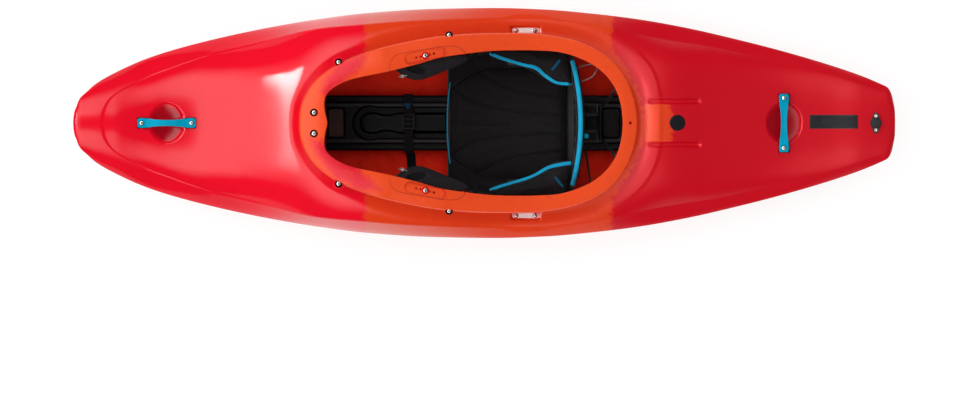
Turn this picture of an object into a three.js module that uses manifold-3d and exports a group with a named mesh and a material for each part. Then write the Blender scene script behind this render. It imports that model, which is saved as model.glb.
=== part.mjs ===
// A whitewater kayak: a moulded shell with its cockpit coaming, two grab handles, a drain plug,
// deck bolts, and the seat, braces, footrest and foam walls inside it. Millimetres. +X runs to
// the stern, +Z is up, and the origin lies on the flat of the bottom at the middle of the length.
import * as THREE from "three";
import { mergeVertices } from "three/addons/utils/BufferGeometryUtils.js";
import Module from "manifold-3d";

const wasm = await Module();
wasm.setup();

// Driving sizes of the shell.
const LENGTH = 2260;
const BEAM = 635;
const HEIGHT = 398;
const WALL = 6;
const HALF_BEAM = BEAM / 2;

// The gap between pieces that touch, and the overrun of a cut.
const GAP = 0.3;
const OVERRUN = 2;

// The cockpit: its opening, the band of the coaming round it, and the trough round the band.
const OPENING_FRONT = -443;
const OPENING_LENGTH = 823;
const OPENING_SIDE = 117;
const OPENING_WIDTH = BEAM - 2 * OPENING_SIDE;
const OPENING_REAR = OPENING_FRONT + OPENING_LENGTH;
const BAND_FRONT = 70;
const BAND_SIDE = 48;
const BAND_REAR = 42;
const TROUGH_FRONT = 26;
const TROUGH_SIDE = 40;
const TROUGH_REAR = 61;
const TROUGH_DEEP = 10;
const LIP_DEEP = 19;
const LIP_THICK = 9;
const LIP_ROUND = 6;
const LIP_TOP_THICK = 8;
const RISER_BACK = 26;
const RISER_JOIN = 3;
const CUT_FLOOR = 150;

// Bolts, screws and the holes that they pass.
const BOLT_SHANK_RADIUS = 3;
const BOLT_HEAD_RADIUS = 8.5;
const BOLT_HEAD_TALL = 4;
const BOLT_REACH = 14;
const SOCKET_RADIUS = 2.6;
const SOCKET_DEEP = 2.4;
const HOLE_CLEARANCE = 0.5;
const SEAT_MARGIN = 2.5;
const SEAT_DEEP = 1.5;
const FRONT_BOLT_X = -472;
const FRONT_BOLT_Y = 29;
const SIDE_BOLT_X = -404;
const sideBoltShare = 0.676;
const SIDE_BOLT_Y = (OPENING_WIDTH / 2 + BAND_SIDE) * sideBoltShare;
const DECK_BOLT_X = -99;
const DECK_BOLT_IN = 74.5;
const DECK_BOLT_Y = HALF_BEAM - DECK_BOLT_IN;
const SCREW_HEAD_RADIUS = 5.5;
const SCREW_HEAD_TALL = 3.2;
const ROUND_SIDES = 16;
const BOLT_SIDES = 8;
const SOCKET_SIDES = 6;

// Grab handles, their pads, and the bowls under them.
const HANDLE_LENGTH = 160;
const HANDLE_WIDTH = 27;
const HANDLE_THICK = 7;
const HANDLE_ARCH = 15;
const HANDLE_SCREW_IN = 11;
const HANDLE_EDGE = 2;
const PAD_LENGTH = 30;
const PAD_THICK = 3;
const PAD_MARGIN = 1.5;
const BOWL_LONG = 98;
const BOWL_WIDE = 113;
const BOWL_DEEP = 14;

// Drain plug on the stern deck.
const DRAIN_LONG = 56;
const DRAIN_WIDE = 34;
const DRAIN_FLANGE_THICK = 3.5;
const DRAIN_BOSS_RADIUS = 11;
const DRAIN_BOSS_TALL = 4;
const DRAIN_BORE_RADIUS = 8.5;
const DRAIN_SCREW_SPACING = 38.6;
const PLUG_CAP_RADIUS = 12;
const PLUG_CAP_TALL = 5;
const PLUG_SHANK_RADIUS = 5.5;
const PLUG_SHANK_LONG = 6.5;
const PLUG_GRIP_WIDE = 5;
const PLUG_GRIP_TALL = 4;
const SEAL_THICK = 1.8;

// Grooves behind the cockpit, and the rear rim hole.
const GROOVE_LENGTH = 148;
const GROOVE_WIDTH = 17;
const GROOVE_DEEP = 8;
const GROOVE_SPACING = 119;
const RIM_HOLE_RADIUS = 4.5;

// The beam along the floor, its recesses and its strap.
const BEAM_END_CLEARANCE = 4.5;
const BEAM_FRONT = OPENING_FRONT + BEAM_END_CLEARANCE;
const BEAM_REAR = OPENING_REAR - BEAM_END_CLEARANCE;
const BEAM_WIDTH = 153;
const BEAM_TOP = 62;
const KEYHOLE_RADIUS = 47;
const KEYHOLE_PLATEAU_RADIUS = 27;
const KEYHOLE_BACK = 126;
const KEYHOLE_CENTRE = OPENING_FRONT + KEYHOLE_BACK;
const CHANNEL_OUT = 43;
const CHANNEL_IN = 25;
const CHANNEL_DEEP = 18;
const CHANNEL_LONG = 222;
const CHANNEL_REAR = KEYHOLE_CENTRE + CHANNEL_LONG;
const TRAY_LENGTH = 46;
const TRAY_WIDTH = 82;
const TRAY_DEEP = 14;
const TRAY_MARGIN = 5;
const STRAP_WIDTH = 25;
const STRAP_THICK = 2.5;
const STRAP_DROP = 30;

// The seat, its cushion and the hip pads. The seat slides on the beam.
const SEAT_LENGTH = 350;
const SEAT_BACK = 134;
const SEAT_REAR = OPENING_REAR - SEAT_BACK;
const SEAT_FRONT = SEAT_REAR - SEAT_LENGTH;
const STRAP_AHEAD = 107;
const STRAP_CENTRE = SEAT_FRONT - STRAP_AHEAD;
const SEAT_OVER = 10.5;
const SEAT_WIDTH = OPENING_WIDTH + 2 * SEAT_OVER;
const SEAT_WALL = 5;
const SEAT_WALL_TALL = 150;
const SEAT_CORNER = 45;
const PAN_BEND = 0.3;
const CUSHION_THICK = 16;
const CUSHION_EDGE_THICK = 9;
const CUSHION_CROWN = 9;
const CUSHION_CHANNEL = 5;
const CUSHION_CLEARANCE = 0.6;
const HIP_PAD_TALL = 156;
const HIP_PAD_LEAN = 26;
const HIP_PAD_CROWN = 7;
const HIP_PAD_ROUND = 9;
const HIP_CLEARANCE = 0.6;
const BACK_CLEARANCE = 2;

// The backband, its pin, and the webbing on its back.
const BACKBAND_SIDE = 33;
const BACKBAND_WIDTH = SEAT_WIDTH - 2 * BACKBAND_SIDE;
const BACKBAND_TOP = 294;
const BACKBAND_BOTTOM = 118;
const BACKBAND_THICK = 17;
const BACKBAND_SWEEP = 24;
const BACKBAND_BEHIND = 18;
const BACKBAND_CENTRE = SEAT_REAR + BACKBAND_BEHIND;
const BACKBAND_ROUND = 5;
const BINDING_WIDTH = 13;
const BINDING_TALL = 8;
const PIN_RADIUS = 4;
const PIN_HEIGHT = 80;
const TAB_WIDTH = 76;
const TAB_RADIUS = 9;
const TAB_THICK = 11;
const LUG_THICK = 11;
const LUG_RADIUS = 11;
const WEBBING_WIDTH = 25;
const WEBBING_HEIGHT = 215;
const WEBBING_THICK = 2.5;
const WEBBING_END = 16;

// Brackets under the deck beside the seat, and the plates on the deck over them.
const PLATE_LENGTH = 74;
const PLATE_WIDTH = 15;
const PLATE_THICK = 3;
const PLATE_CENTRE = 112;
const PLATE_IN = 62.5;
const PLATE_SIDE = HALF_BEAM - PLATE_IN;
const PLATE_BOLT_SPACING = 53;
const BRACKET_THICK = 4;
const BRACKET_MARGIN = 8;
const BRACKET_FOOT = 150;

// Thigh braces: the slot in the coaming that each slides along, and the hook itself.
const BRACE_X = -165;
const BRACE_SIDE = 14.5;
const BRACE_Y = OPENING_WIDTH / 2 - BRACE_SIDE;
const BRACE_TURN_SHARE = 0.228;
const BRACE_SLOPE_SHARE = -0.238;
const BRACE_TRAVEL = 22;
const POCKET_LENGTH = 118;
const POCKET_WIDTH = 28;
const POCKET_DEEP = 3;
const BRACE_THICK = 8;
const BRACE_DROP = 22;
const BRACE_SAG = 8;
const BRACE_REACH = 64;
const BRACE_BACK = 12;
const BRACE_FRONT_END = -88;
const BRACE_REAR_END = 122;
const BRACE_BOSS_LENGTH = 66;
const BRACE_BOSS_TALL = 4;
const BRACE_PAD_THICK = 9;
const BRACE_PAD_INSET = 5;
const BRACE_SCREW_X = -72;
const BRACE_SCREW_Y = 42;
const WASHER_RADIUS = 10;
const WASHER_THICK = 2;
const STUD_RADIUS = 2.5;
const STUD_REACH = 7;
const WING_RADIUS = 5;
const WING_TALL = 5;
const WING_FIN_TALL = 5;
const WING_SPAN = 24;
const WING_THICK = 2.5;

// The footrest, which slides on two rails in brackets on the hull's sides.
const FOOTREST_X = -640;
const FOOTREST_TRAVEL = 60;
const FOOTREST_THICK = 8;
const FOOTREST_MARGIN = 5;
const FOAM_THICK = 30;
const FOAM_MARGIN = 30;
const FOAM_ROUND = 5;
const RAIL_IN = 14;
const RAIL_HEIGHT = 140;
const RAIL_TALL = 20;
const RAIL_THICK = 4;
const RAIL_REAR = -320;
const RAIL_BRACKET_X = -395;
const RAIL_BRACKET_LENGTH = 44;
const RAIL_BRACKET_TALL = 38;
const RAIL_BRACKET_IN = 10;
const RAIL_CLEARANCE = 0.5;

// Foam walls between the floor and the decks.
const PILLAR_WIDTH = 60;
const BOW_PILLAR_IN = 120;
const BOW_PILLAR_FRONT = BOW_PILLAR_IN - LENGTH / 2;
const BOW_PILLAR_CLEARANCE = 20;
const FOOTREST_FORWARD = FOOTREST_X - FOOTREST_TRAVEL - FOOTREST_THICK;
const BOW_PILLAR_REAR = FOOTREST_FORWARD - BOW_PILLAR_CLEARANCE;
const STERN_PILLAR_BACK = 20;
const STERN_PILLAR_FRONT = OPENING_REAR + STERN_PILLAR_BACK;
const STERN_PILLAR_IN = 150;
const STERN_PILLAR_REAR = LENGTH / 2 - STERN_PILLAR_IN;

// The cords from the beam to the rear rim.
const CORD_RADIUS = 2.5;
const CORD_FOOT_BACK = 58;
const CORD_FOOT_X = OPENING_REAR - CORD_FOOT_BACK;
const CORD_FOOT_Y = 43;
const CORD_HEAD_BACK = 14;
const CORD_HEAD_X = OPENING_REAR - CORD_HEAD_BACK;
const CORD_HEAD_Y = 98;
const CORD_SIDES = 5;

// Curves along the hull: [share of the length from the bow, share of the size they follow].
const planShares = [[0, 0.191], [0.012, 0.262], [0.025, 0.343], [0.045, 0.426], [0.084, 0.552],
  [0.123, 0.643], [0.181, 0.748], [0.24, 0.835], [0.298, 0.904], [0.357, 0.956], [0.435, 0.991],
  [0.513, 1], [0.572, 0.987], [0.63, 0.952], [0.689, 0.9], [0.747, 0.826], [0.806, 0.73],
  [0.865, 0.622], [0.923, 0.5], [0.962, 0.404], [1, 0.287]];
const keelShares = [[0, 0.572], [0.008, 0.526], [0.027, 0.457], [0.047, 0.394], [0.086, 0.284],
  [0.125, 0.2], [0.164, 0.134], [0.203, 0.09], [0.242, 0.062], [0.3, 0.035], [0.36, 0.016],
  [0.425, 0], [0.6, 0], [0.66, 0.016], [0.71, 0.043], [0.768, 0.084], [0.807, 0.118],
  [0.846, 0.159], [0.885, 0.208], [0.924, 0.263], [0.963, 0.312], [1, 0.36]];
const seamShares = [[0, 0.6], [0.036, 0.481], [0.068, 0.427], [0.099, 0.386], [0.13, 0.368],
  [0.168, 0.366], [0.204, 0.372], [0.246, 0.391], [0.312, 0.427], [0.388, 0.462], [0.444, 0.477],
  [0.5, 0.481], [0.556, 0.473], [0.611, 0.436], [0.667, 0.393], [0.712, 0.367], [0.759, 0.332],
  [0.806, 0.308], [0.852, 0.299], [0.899, 0.305], [0.945, 0.328], [1, 0.375]];
const deckShares = [[0, 0.622], [0.01, 0.63], [0.03, 0.634], [0.045, 0.633], [0.068, 0.616],
  [0.085, 0.598], [0.12, 0.583], [0.151, 0.595], [0.172, 0.627], [0.193, 0.66], [0.214, 0.701],
  [0.235, 0.748], [0.256, 0.796], [0.283, 0.86], [0.312, 0.905], [0.35, 0.924], [0.39, 0.89],
  [0.425, 0.85], [0.455, 0.815], [0.497, 0.742], [0.52, 0.7], [0.56, 0.652], [0.595, 0.632],
  [0.643, 0.62], [0.681, 0.638], [0.7125, 0.652], [0.782, 0.553], [0.852, 0.467], [0.875, 0.449],
  [0.898, 0.44], [0.922, 0.434], [0.952, 0.438], [0.975, 0.43], [0.992, 0.418], [1, 0.402]];
const shoulderWideShares = [[0.031, 0], [0.0358, 0.139], [0.0467, 0.243], [0.0665, 0.325],
  [0.0909, 0.41], [0.1154, 0.475], [0.1398, 0.538], [0.164, 0.593], [0.1886, 0.637], [0.214, 0.68],
  [0.245, 0.737], [0.27, 0.785],
  [0.3, 0.825], [0.347, 0.853], [0.408, 0.887], [0.5, 0.91], [0.556, 0.91], [0.6, 0.885],
  [0.64, 0.845], [0.68, 0.785], [0.731, 0.713], [0.774, 0.668], [0.835, 0.574], [0.896, 0.474],
  [0.957, 0.343], [0.982, 0.28], [1, 0.235]];
const shoulderTallShares = [[0.031, 0.6338], [0.041, 0.61], [0.062, 0.548], [0.09, 0.502],
  [0.123, 0.484], [0.166, 0.482], [0.21, 0.525], [0.258, 0.628], [0.288, 0.71], [0.318, 0.755],
  [0.349, 0.767], [0.38, 0.753], [0.41, 0.725], [0.455, 0.66], [0.495, 0.6], [0.525, 0.565],
  [0.56, 0.548], [0.593, 0.536], [0.64, 0.515], [0.68, 0.478], [0.73, 0.43], [0.775, 0.396],
  [0.836, 0.361], [0.867, 0.356], [0.897, 0.365], [0.928, 0.38], [0.958, 0.396], [1, 0.395]];
const chineWideShares = [[0, 0.5], [0.1, 0.55], [0.3, 0.6], [0.5, 0.62], [0.7, 0.66], [0.85, 0.74],
  [1, 0.8]];
const chineRiseShares = [[0, 0.15], [0.12, 0.12], [0.3, 0.07], [0.5, 0.05], [0.7, 0.06],
  [0.85, 0.12], [1, 0.2]];
const bowRoundShare = 0.012;
const bowTipShare = 0.005;
const sternRoundShare = 0.012;
const apexShare = 0.031;
const flatShare = 0.6;

// Half outline of the cockpit from front to rear: [lip x, lip y, opening x, opening y, trough x,
// trough y], as shares of the length and the half width of each.
const cockpitShares = [
  [0, 0, 0.0097, 0, 0, 0], [0.002, 0.13, 0.003, 0.14, 0.002, 0.115],
  [0.01, 0.24, 0, 0.29, 0.008, 0.22], [0.034, 0.41, 0.011, 0.41, 0.025, 0.358],
  [0.07, 0.545, 0.043, 0.516, 0.052, 0.496], [0.115, 0.66, 0.09, 0.6, 0.096, 0.635],
  [0.175, 0.757, 0.15, 0.655, 0.155, 0.744], [0.245, 0.84, 0.22, 0.715, 0.233, 0.868],
  [0.32, 0.905, 0.31, 0.808, 0.312, 0.935], [0.4, 0.958, 0.39, 0.9, 0.384, 0.964],
  [0.47, 0.984, 0.475, 0.953, 0.452, 0.973], [0.54, 0.998, 0.557, 0.99, 0.514, 0.981],
  [0.6, 1, 0.635, 1, 0.576, 0.992], [0.67, 1, 0.715, 0.997, 0.641, 1],
  [0.74, 0.976, 0.79, 0.973, 0.711, 0.983], [0.81, 0.925, 0.86, 0.885, 0.784, 0.94],
  [0.875, 0.825, 0.915, 0.76, 0.857, 0.854], [0.925, 0.695, 0.953, 0.61, 0.914, 0.725],
  [0.964, 0.51, 0.98, 0.43, 0.96, 0.553], [0.99, 0.27, 0.995, 0.22, 0.99, 0.315],
  [1, 0, 1, 0, 1, 0]];
// Height of the coaming at its opening edge and at its outer edge: [share of its length, share
// of the height], and how much of its full depth the outer edge has.
const rimTallShares = [[0, 0.962], [0.088, 0.992], [0.16, 1], [0.232, 0.998], [0.267, 0.99],
  [0.31, 0.967], [0.36, 0.94], [0.41, 0.912], [0.46, 0.879], [0.51, 0.844], [0.56, 0.81],
  [0.61, 0.781], [0.66, 0.754], [0.71, 0.734], [0.76, 0.726], [0.86, 0.712], [0.96, 0.706],
  [1, 0.704]];
const lipTallShares = [[0, 0.955], [0.088, 0.975], [0.16, 0.977], [0.232, 0.965], [0.267, 0.942],
  [0.377, 0.886], [0.45, 0.847], [0.522, 0.807], [0.594, 0.767], [0.667, 0.739], [0.739, 0.719],
  [0.846, 0.706], [0.95, 0.694], [1, 0.686]];
const lipDeepShares = [[0, 0.75], [0.1, 1], [0.93, 1], [1, 0.62]];

// Places along the length, as shares of it from the bow.
const bowHandleShare = 0.1113;
const sternHandleShare = 0.8651;
const drainShare = 0.9772;
const grooveShare = 0.7308;

// A handle along half its length: [share of the half length, share of the arch's height], and
// [share of the half length, share of the width].
const handleLiftShares = [[0, 1], [0.3, 0.86], [0.55, 0.32], [0.72, 0], [1, 0]];
const handleWideShares = [[0, 0.7], [0.5, 0.74], [0.75, 0.97], [0.9, 1], [0.96, 0.9], [1, 0.55]];
const handleStationShares = [-1, -0.96, -0.86, -0.72, -0.58, -0.44, -0.22, 0, 0.22, 0.44, 0.58, 0.72, 0.86,
  0.96, 1];

// The seat from front to rear: [share of its length, share of its half width], and the height of
// its side walls as a share of their full height.
const seatWideShares = [[0, 0.72], [0.22, 0.94], [0.4, 1], [1, 1]];
const seatWallShares = [[0, 0.12], [0.2, 0.2], [0.33, 0.75], [0.45, 1], [1, 1]];
const seatStationShares = [0, 0.1, 0.22, 0.33, 0.45, 0.6, 0.8, 1];
// The cushion across: [share of its half width, share of its crown, share of a channel's depth],
// with the channels nearer the middle at the front than at the rear.
const cushionCrossShares = [[0, 0.55, 1], [0.05, 0.9, 0], [0.2, 1, 0], [0.27, 0.8, 1], [0.34, 1, 0],
  [0.55, 1, 0], [0.62, 0.8, 1], [0.69, 1, 0], [0.88, 0.6, 0], [1, 0, 0]];
const cushionStationShares = [0, 0.03, 0.12, 0.25, 0.4, 0.55, 0.7, 0.85, 0.97, 1];
const cushionCrownShares = [[0, 0], [0.03, 0.55], [0.12, 1], [0.5, 0.6], [0.85, 0.75], [0.97, 0.5],
  [1, 0]];
// Inner edges of the hip pads: [share of the seat's length, share of its half width].
const hipInnerShares = [[0.33, 0.94], [0.43, 0.88], [0.6, 0.78], [0.71, 0.7], [0.8, 0.58],
  [0.9, 0.5], [1, 0.48]];
const hipStationShares = [0.33, 0.38, 0.5, 0.62, 0.74, 0.86, 0.96, 1];
// The backband from its middle to an end: [share of the half width, share of its height], and of
// its thickness.
const backTallShares = [[0, 1], [0.5, 0.95], [0.8, 0.62], [1, 0.14]];
const backThickShares = [[0, 1], [0.7, 0.95], [0.93, 0.75], [1, 0.4]];
const backStationShares = [-1, -0.95, -0.82, -0.62, -0.4, -0.2, 0, 0.2, 0.4, 0.62, 0.82, 0.95, 1];
// A brace along its length: [share of its length, share of its reach inwards], and the same for
// its outer edge as a share of the width behind the bolt.
const braceReachShares = [[0, 0.3], [0.05, 0.52], [0.15, 0.8], [0.32, 1], [0.5, 0.94], [0.7, 0.83],
  [0.9, 0.74], [1, 0.6]];
const braceBackShares = [[0, 0.2], [0.06, 0.8], [0.15, 1], [0.55, 1], [0.72, 0.2], [0.86, -1], [1, -2.4]];
const braceStationShares = [0, 0.05, 0.15, 0.25, 0.34, 0.45, 0.55, 0.65, 0.75, 0.86, 0.95, 1];
const braceCrossShares = [0, 0.25, 0.55, 0.8, 1];

// Value at s of a smooth curve through the rows of a table, with no overshoot between rows.
function along(table, s) {
  const last = table.length - 1;
  if (s <= table[0][0]) return table[0][1];
  if (s >= table[last][0]) return table[last][1];
  let i = 0;
  while (s > table[i + 1][0]) i++;
  const rate = (k) => (table[k + 1][1] - table[k][1]) / (table[k + 1][0] - table[k][0]);
  const tangent = (k) => {
    if (k === 0) return rate(0);
    if (k === last) return rate(last - 1);
    const [a, b] = [rate(k - 1), rate(k)];
    return a * b <= 0 ? 0 : (2 * a * b) / (a + b);
  };
  const span = table[i + 1][0] - table[i][0];
  const t = (s - table[i][0]) / span;
  const [t2, t3] = [t * t, t * t * t];
  return table[i][1] * (2 * t3 - 3 * t2 + 1) + table[i + 1][1] * (3 * t2 - 2 * t3) +
    span * (tangent(i) * (t3 - 2 * t2 + t) + tangent(i + 1) * (t3 - t2));
}

const stationX = (s) => (s - 1 / 2) * LENGTH;
const shareAt = (x) => x / LENGTH + 1 / 2;

// How far the ends have closed: 0 at the very tip, 1 where the full section begins.
function endRounding(s, share, power) {
  const u = Math.min(1, Math.max(0, s / share));
  return Math.pow(1 - Math.pow(1 - u, power), 1 / power);
}

// The lengths and heights that rule the section at share s of the length.
function sectionSizes(s) {
  const closing = endRounding(s, bowRoundShare, 3.5) * endRounding(1 - s, sternRoundShare, 2.7);
  const tip = endRounding(s, bowTipShare, 2);
  const wide = HALF_BEAM * along(planShares, s) * closing;
  const seam = HEIGHT * along(seamShares, s);
  const towards = (z) => seam + (z - seam) * tip;
  const keel = towards(HEIGHT * along(keelShares, s));
  const deck = towards(HEIGHT * along(deckShares, s));
  const shoulderWide = Math.min(HALF_BEAM * along(shoulderWideShares, s) * closing, wide);
  const shoulder = HEIGHT * along(shoulderTallShares, s);
  const chineWide = wide * along(chineWideShares, s);
  const chine = keel + (seam - keel) * along(chineRiseShares, s);
  return { wide, seam, keel, deck, shoulderWide, shoulder, chineWide, chine };
}

// Points of a cubic curve from a to d with handles b and c, the first point left out.
function bezier(a, b, c, d, steps) {
  const points = [];
  for (let i = 1; i <= steps; i++) {
    const [t, u] = [i / steps, 1 - i / steps];
    const mix = (k) => u * u * u * a[k] + 3 * u * u * t * b[k] + 3 * u * t * t * c[k] + t * t * t * d[k];
    points.push([mix(0), mix(1)]);
  }
  return points;
}

const CURVE_STEPS = 24;
const BOTTOM_STEPS = 2;
const SIDE_POINTS = 5;
const UPPER_POINTS = 9;

// Half sections as [y, z] lists: the bottom, the side below the seam, and all above the seam.
function bottomCurve(z) {
  const flat = [z.chineWide * flatShare, z.keel];
  const end = [z.chineWide, z.chine];
  const middle = z.chineWide * (1 + flatShare) / 2;
  return [[0, z.keel], flat, ...bezier(flat, [middle, z.keel], [middle, z.keel], end, BOTTOM_STEPS)];
}

function sideCurve(z) {
  const start = [z.chineWide, z.chine];
  const end = [z.wide, z.seam];
  const [run, rise] = [end[0] - start[0], end[1] - start[1]];
  const low = [start[0] + run * 0.5, start[1] + rise * 0.08];
  const high = [end[0] - run * 0.06, end[1] - rise * 0.5];
  return [start, ...bezier(start, low, high, end, CURVE_STEPS)];
}

function upperCurve(z, s) {
  const seam = [z.wide, z.seam];
  const top = [0, z.deck];
  if (s <= apexShare || z.shoulderWide <= 0) {
    const t = s / apexShare;
    const crest = z.deck - z.seam;
    const side = [z.wide * 0.8, z.seam + crest * (0.6 - 0.25 * t)];
    const high = [z.wide * (0.45 - 0.2 * t), z.deck - crest * 0.22 * t];
    return [seam, ...bezier(seam, side, high, top, 2 * CURVE_STEPS)];
  }
  const shoulder = [z.shoulderWide, z.shoulder];
  const rise = z.shoulder - z.seam;
  const bevel = bezier(seam, [z.wide - (z.wide - z.shoulderWide) * 0.2, z.seam + rise * 0.35],
    [z.shoulderWide + (z.wide - z.shoulderWide) * 0.25, z.shoulder - rise * 0.22], shoulder, CURVE_STEPS);
  const crown = z.deck - z.shoulder;
  const low = [z.shoulderWide * 0.8, z.shoulder + crown * 0.72];
  return [seam, ...bevel, ...bezier(shoulder, low, [z.shoulderWide * 0.5, z.deck], top, CURVE_STEPS)];
}

// Spreads count points evenly by length over a list of points, both ends kept.
function spread(points, count) {
  const lengths = [0];
  for (let i = 1; i < points.length; i++) {
    const [from, to] = [points[i - 1], points[i]];
    lengths.push(lengths[i - 1] + Math.hypot(to[0] - from[0], to[1] - from[1]));
  }
  const total = lengths[lengths.length - 1];
  const found = [];
  let k = 1;
  for (let i = 0; i < count; i++) {
    const at = (total * i) / (count - 1);
    while (k < points.length - 1 && lengths[k] < at) k++;
    const t = (at - lengths[k - 1]) / Math.max(lengths[k] - lengths[k - 1], Number.EPSILON);
    found.push([0, 1].map((j) => points[k - 1][j] + (points[k][j] - points[k - 1][j]) * t));
  }
  return found;
}

// The whole section as a closed ring of [y, z] points, from the keel up the +Y side and round.
function sectionRing(s) {
  const z = sectionSizes(s);
  const half = [...bottomCurve(z), ...spread(sideCurve(z), SIDE_POINTS).slice(1),
    ...spread(upperCurve(z, s), UPPER_POINTS).slice(1)];
  const other = half.slice(1, -1).reverse().map(([y, w]) => [-y, w]);
  return [...half, ...other];
}

// Height of the deck's outer face at a place, from the same curves.
function deckAt(x, y) {
  const s = shareAt(x);
  const points = upperCurve(sectionSizes(s), s);
  const side = Math.abs(y);
  for (let i = 1; i < points.length; i++) {
    if (points[i][0] > side) continue;
    const t = (points[i - 1][0] - side) / (points[i - 1][0] - points[i][0]);
    return points[i - 1][1] + (points[i][1] - points[i - 1][1]) * t;
  }
  return points[points.length - 1][1];
}

// The ring moved inwards by a distance.
function insetRing(ring, inset) {
  const n = ring.length;
  return ring.map(([y, z], i) => {
    const before = ring[(i + n - 1) % n];
    const after = ring[(i + 1) % n];
    const edges = [[y - before[0], z - before[1]], [after[0] - y, after[1] - z]];
    const normals = edges.map(([a, b]) => [-b / Math.hypot(a, b), a / Math.hypot(a, b)]);
    const sum = [normals[0][0] + normals[1][0], normals[0][1] + normals[1][1]];
    const share = 2 / Math.max(sum[0] ** 2 + sum[1] ** 2, 1);
    return [y + sum[0] * share * inset, z + sum[1] * share * inset];
  });
}

// A solid from points and triangles, turned inside out if it faces in.
function solidFrom(points, faces) {
  const made = new wasm.Manifold(new wasm.Mesh({
    numProp: 3, vertProperties: new Float32Array(points), triVerts: new Uint32Array(faces) }));
  if (made.volume() > 0) return made;
  const turned = [];
  for (let i = 0; i < faces.length; i += 3) turned.push(faces[i], faces[i + 2], faces[i + 1]);
  return new wasm.Manifold(new wasm.Mesh({
    numProp: 3, vertProperties: new Float32Array(points), triVerts: new Uint32Array(turned) }));
}

const apart = (p, q) => Math.hypot(p[0] - q[0], p[1] - q[1], p[2] - q[2]);

// A solid through rings of [x, y, z] points that all have as many points. A closed one joins its
// last ring to its first, and an open one has flat ends. Each four-sided patch is split along its
// shorter diagonal, so that both sides of a mirrored form match.
function loft(rings, closed = false) {
  const n = rings[0].length;
  const points = rings.flat(2);
  const faces = [];
  const spans = closed ? rings.length : rings.length - 1;
  for (let r = 0; r < spans; r++) {
    const next = (r + 1) % rings.length;
    for (let i = 0; i < n; i++) {
      const j = (i + 1) % n;
      const [a, b, c, d] = [r * n + i, r * n + j, next * n + i, next * n + j];
      const [ad, bc] = [apart(rings[r][i], rings[next][j]), apart(rings[r][j], rings[next][i])];
      faces.push(...(ad < bc ? [a, c, d, a, d, b] : [a, c, b, b, c, d]));
    }
  }
  if (!closed) {
    for (const [ring, turned] of [[0, false], [rings.length - 1, true]]) {
      const middle = points.length / 3;
      points.push(...[0, 1, 2].map((k) => rings[ring].reduce((total, p) => total + p[k], 0) / n));
      for (let i = 0; i < n; i++) {
        const [a, b] = [ring * n + i, ring * n + ((i + 1) % n)];
        faces.push(...(turned ? [middle, b, a] : [middle, a, b]));
      }
    }
  }
  return solidFrom(points, faces);
}

// A solid from a three.js geometry.
function solidOf(geometry) {
  geometry.deleteAttribute("normal");
  geometry.deleteAttribute("uv");
  const merged = mergeVertices(geometry);
  return solidFrom(merged.attributes.position.array, merged.index.array);
}

const reach = (centre, length) => [centre - length / 2, centre + length / 2];
const block = ([x0, x1], [y0, y1], [z0, z1]) => solidOf(new THREE.BoxGeometry(x1 - x0, y1 - y0, z1 - z0)
  .translate((x0 + x1) / 2, (y0 + y1) / 2, (z0 + z1) / 2));
const crossRod = (radius, [y0, y1], sides = ROUND_SIDES) =>
  solidOf(new THREE.CylinderGeometry(radius, radius, y1 - y0, sides).translate(0, (y0 + y1) / 2, 0));
const rod = (radius, heights, sides = ROUND_SIDES) => crossRod(radius, heights, sides).rotate([90, 0, 0]);

function prism(outline, [z0, z1]) {
  const shape = new THREE.Shape(outline.map(([x, y]) => new THREE.Vector2(x, y)));
  const extruded = new THREE.ExtrudeGeometry(shape, { depth: z1 - z0, bevelEnabled: false });
  return solidOf(extruded.translate(0, 0, z0));
}

const SLOT_END_STEPS = 6;

// The outline of a bar with round ends along x.
function slotOutline(length, width) {
  const points = [];
  const round = width / 2;
  for (const end of [1, -1]) {
    for (let i = 0; i <= SLOT_END_STEPS; i++) {
      const angle = Math.PI * (i / SLOT_END_STEPS - 1 / 2);
      points.push([end * (length / 2 - round + Math.cos(angle) * round), end * Math.sin(angle) * round]);
    }
  }
  return points;
}

const unite = (solids) => solids.reduce((whole, solid) => whole.add(solid));
const lowered = (solid, by) => solid.translate([0, 0, -by]);

// The largest piece of a solid that a cut has parted.
function mainPiece(solid) {
  return solid.decompose().reduce((most, piece) => (piece.volume() > most.volume() ? piece : most));
}

// The hull's outer and inner forms, without any opening.
const stationShares = [0.0004, 0.0025, 0.008, 0.02, 0.033, 0.047, 0.07, 0.095, 0.125, 0.155, 0.185, 0.215,
  0.25, 0.285, 0.32, 0.355, 0.39, 0.43, 0.47, 0.51, 0.55, 0.59, 0.63, 0.67, 0.71, 0.75, 0.79, 0.83,
  0.87, 0.91, 0.945, 0.97, 0.987, 0.995, 0.9995];
const innerFromShare = 0.02;
const innerToShare = 0.975;
const hullForm = (shares, inset) => loft(shares.map((s) =>
  insetRing(sectionRing(s), inset).map(([y, z]) => [stationX(s), y, z])));
const innerShares = stationShares.filter((s, i) => s > innerFromShare && s < innerToShare && i % 2);
const outerForm = hullForm(stationShares, 0);
const grownForm = hullForm(stationShares, -GAP);
const innerForm = hullForm(innerShares, WALL);

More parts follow.
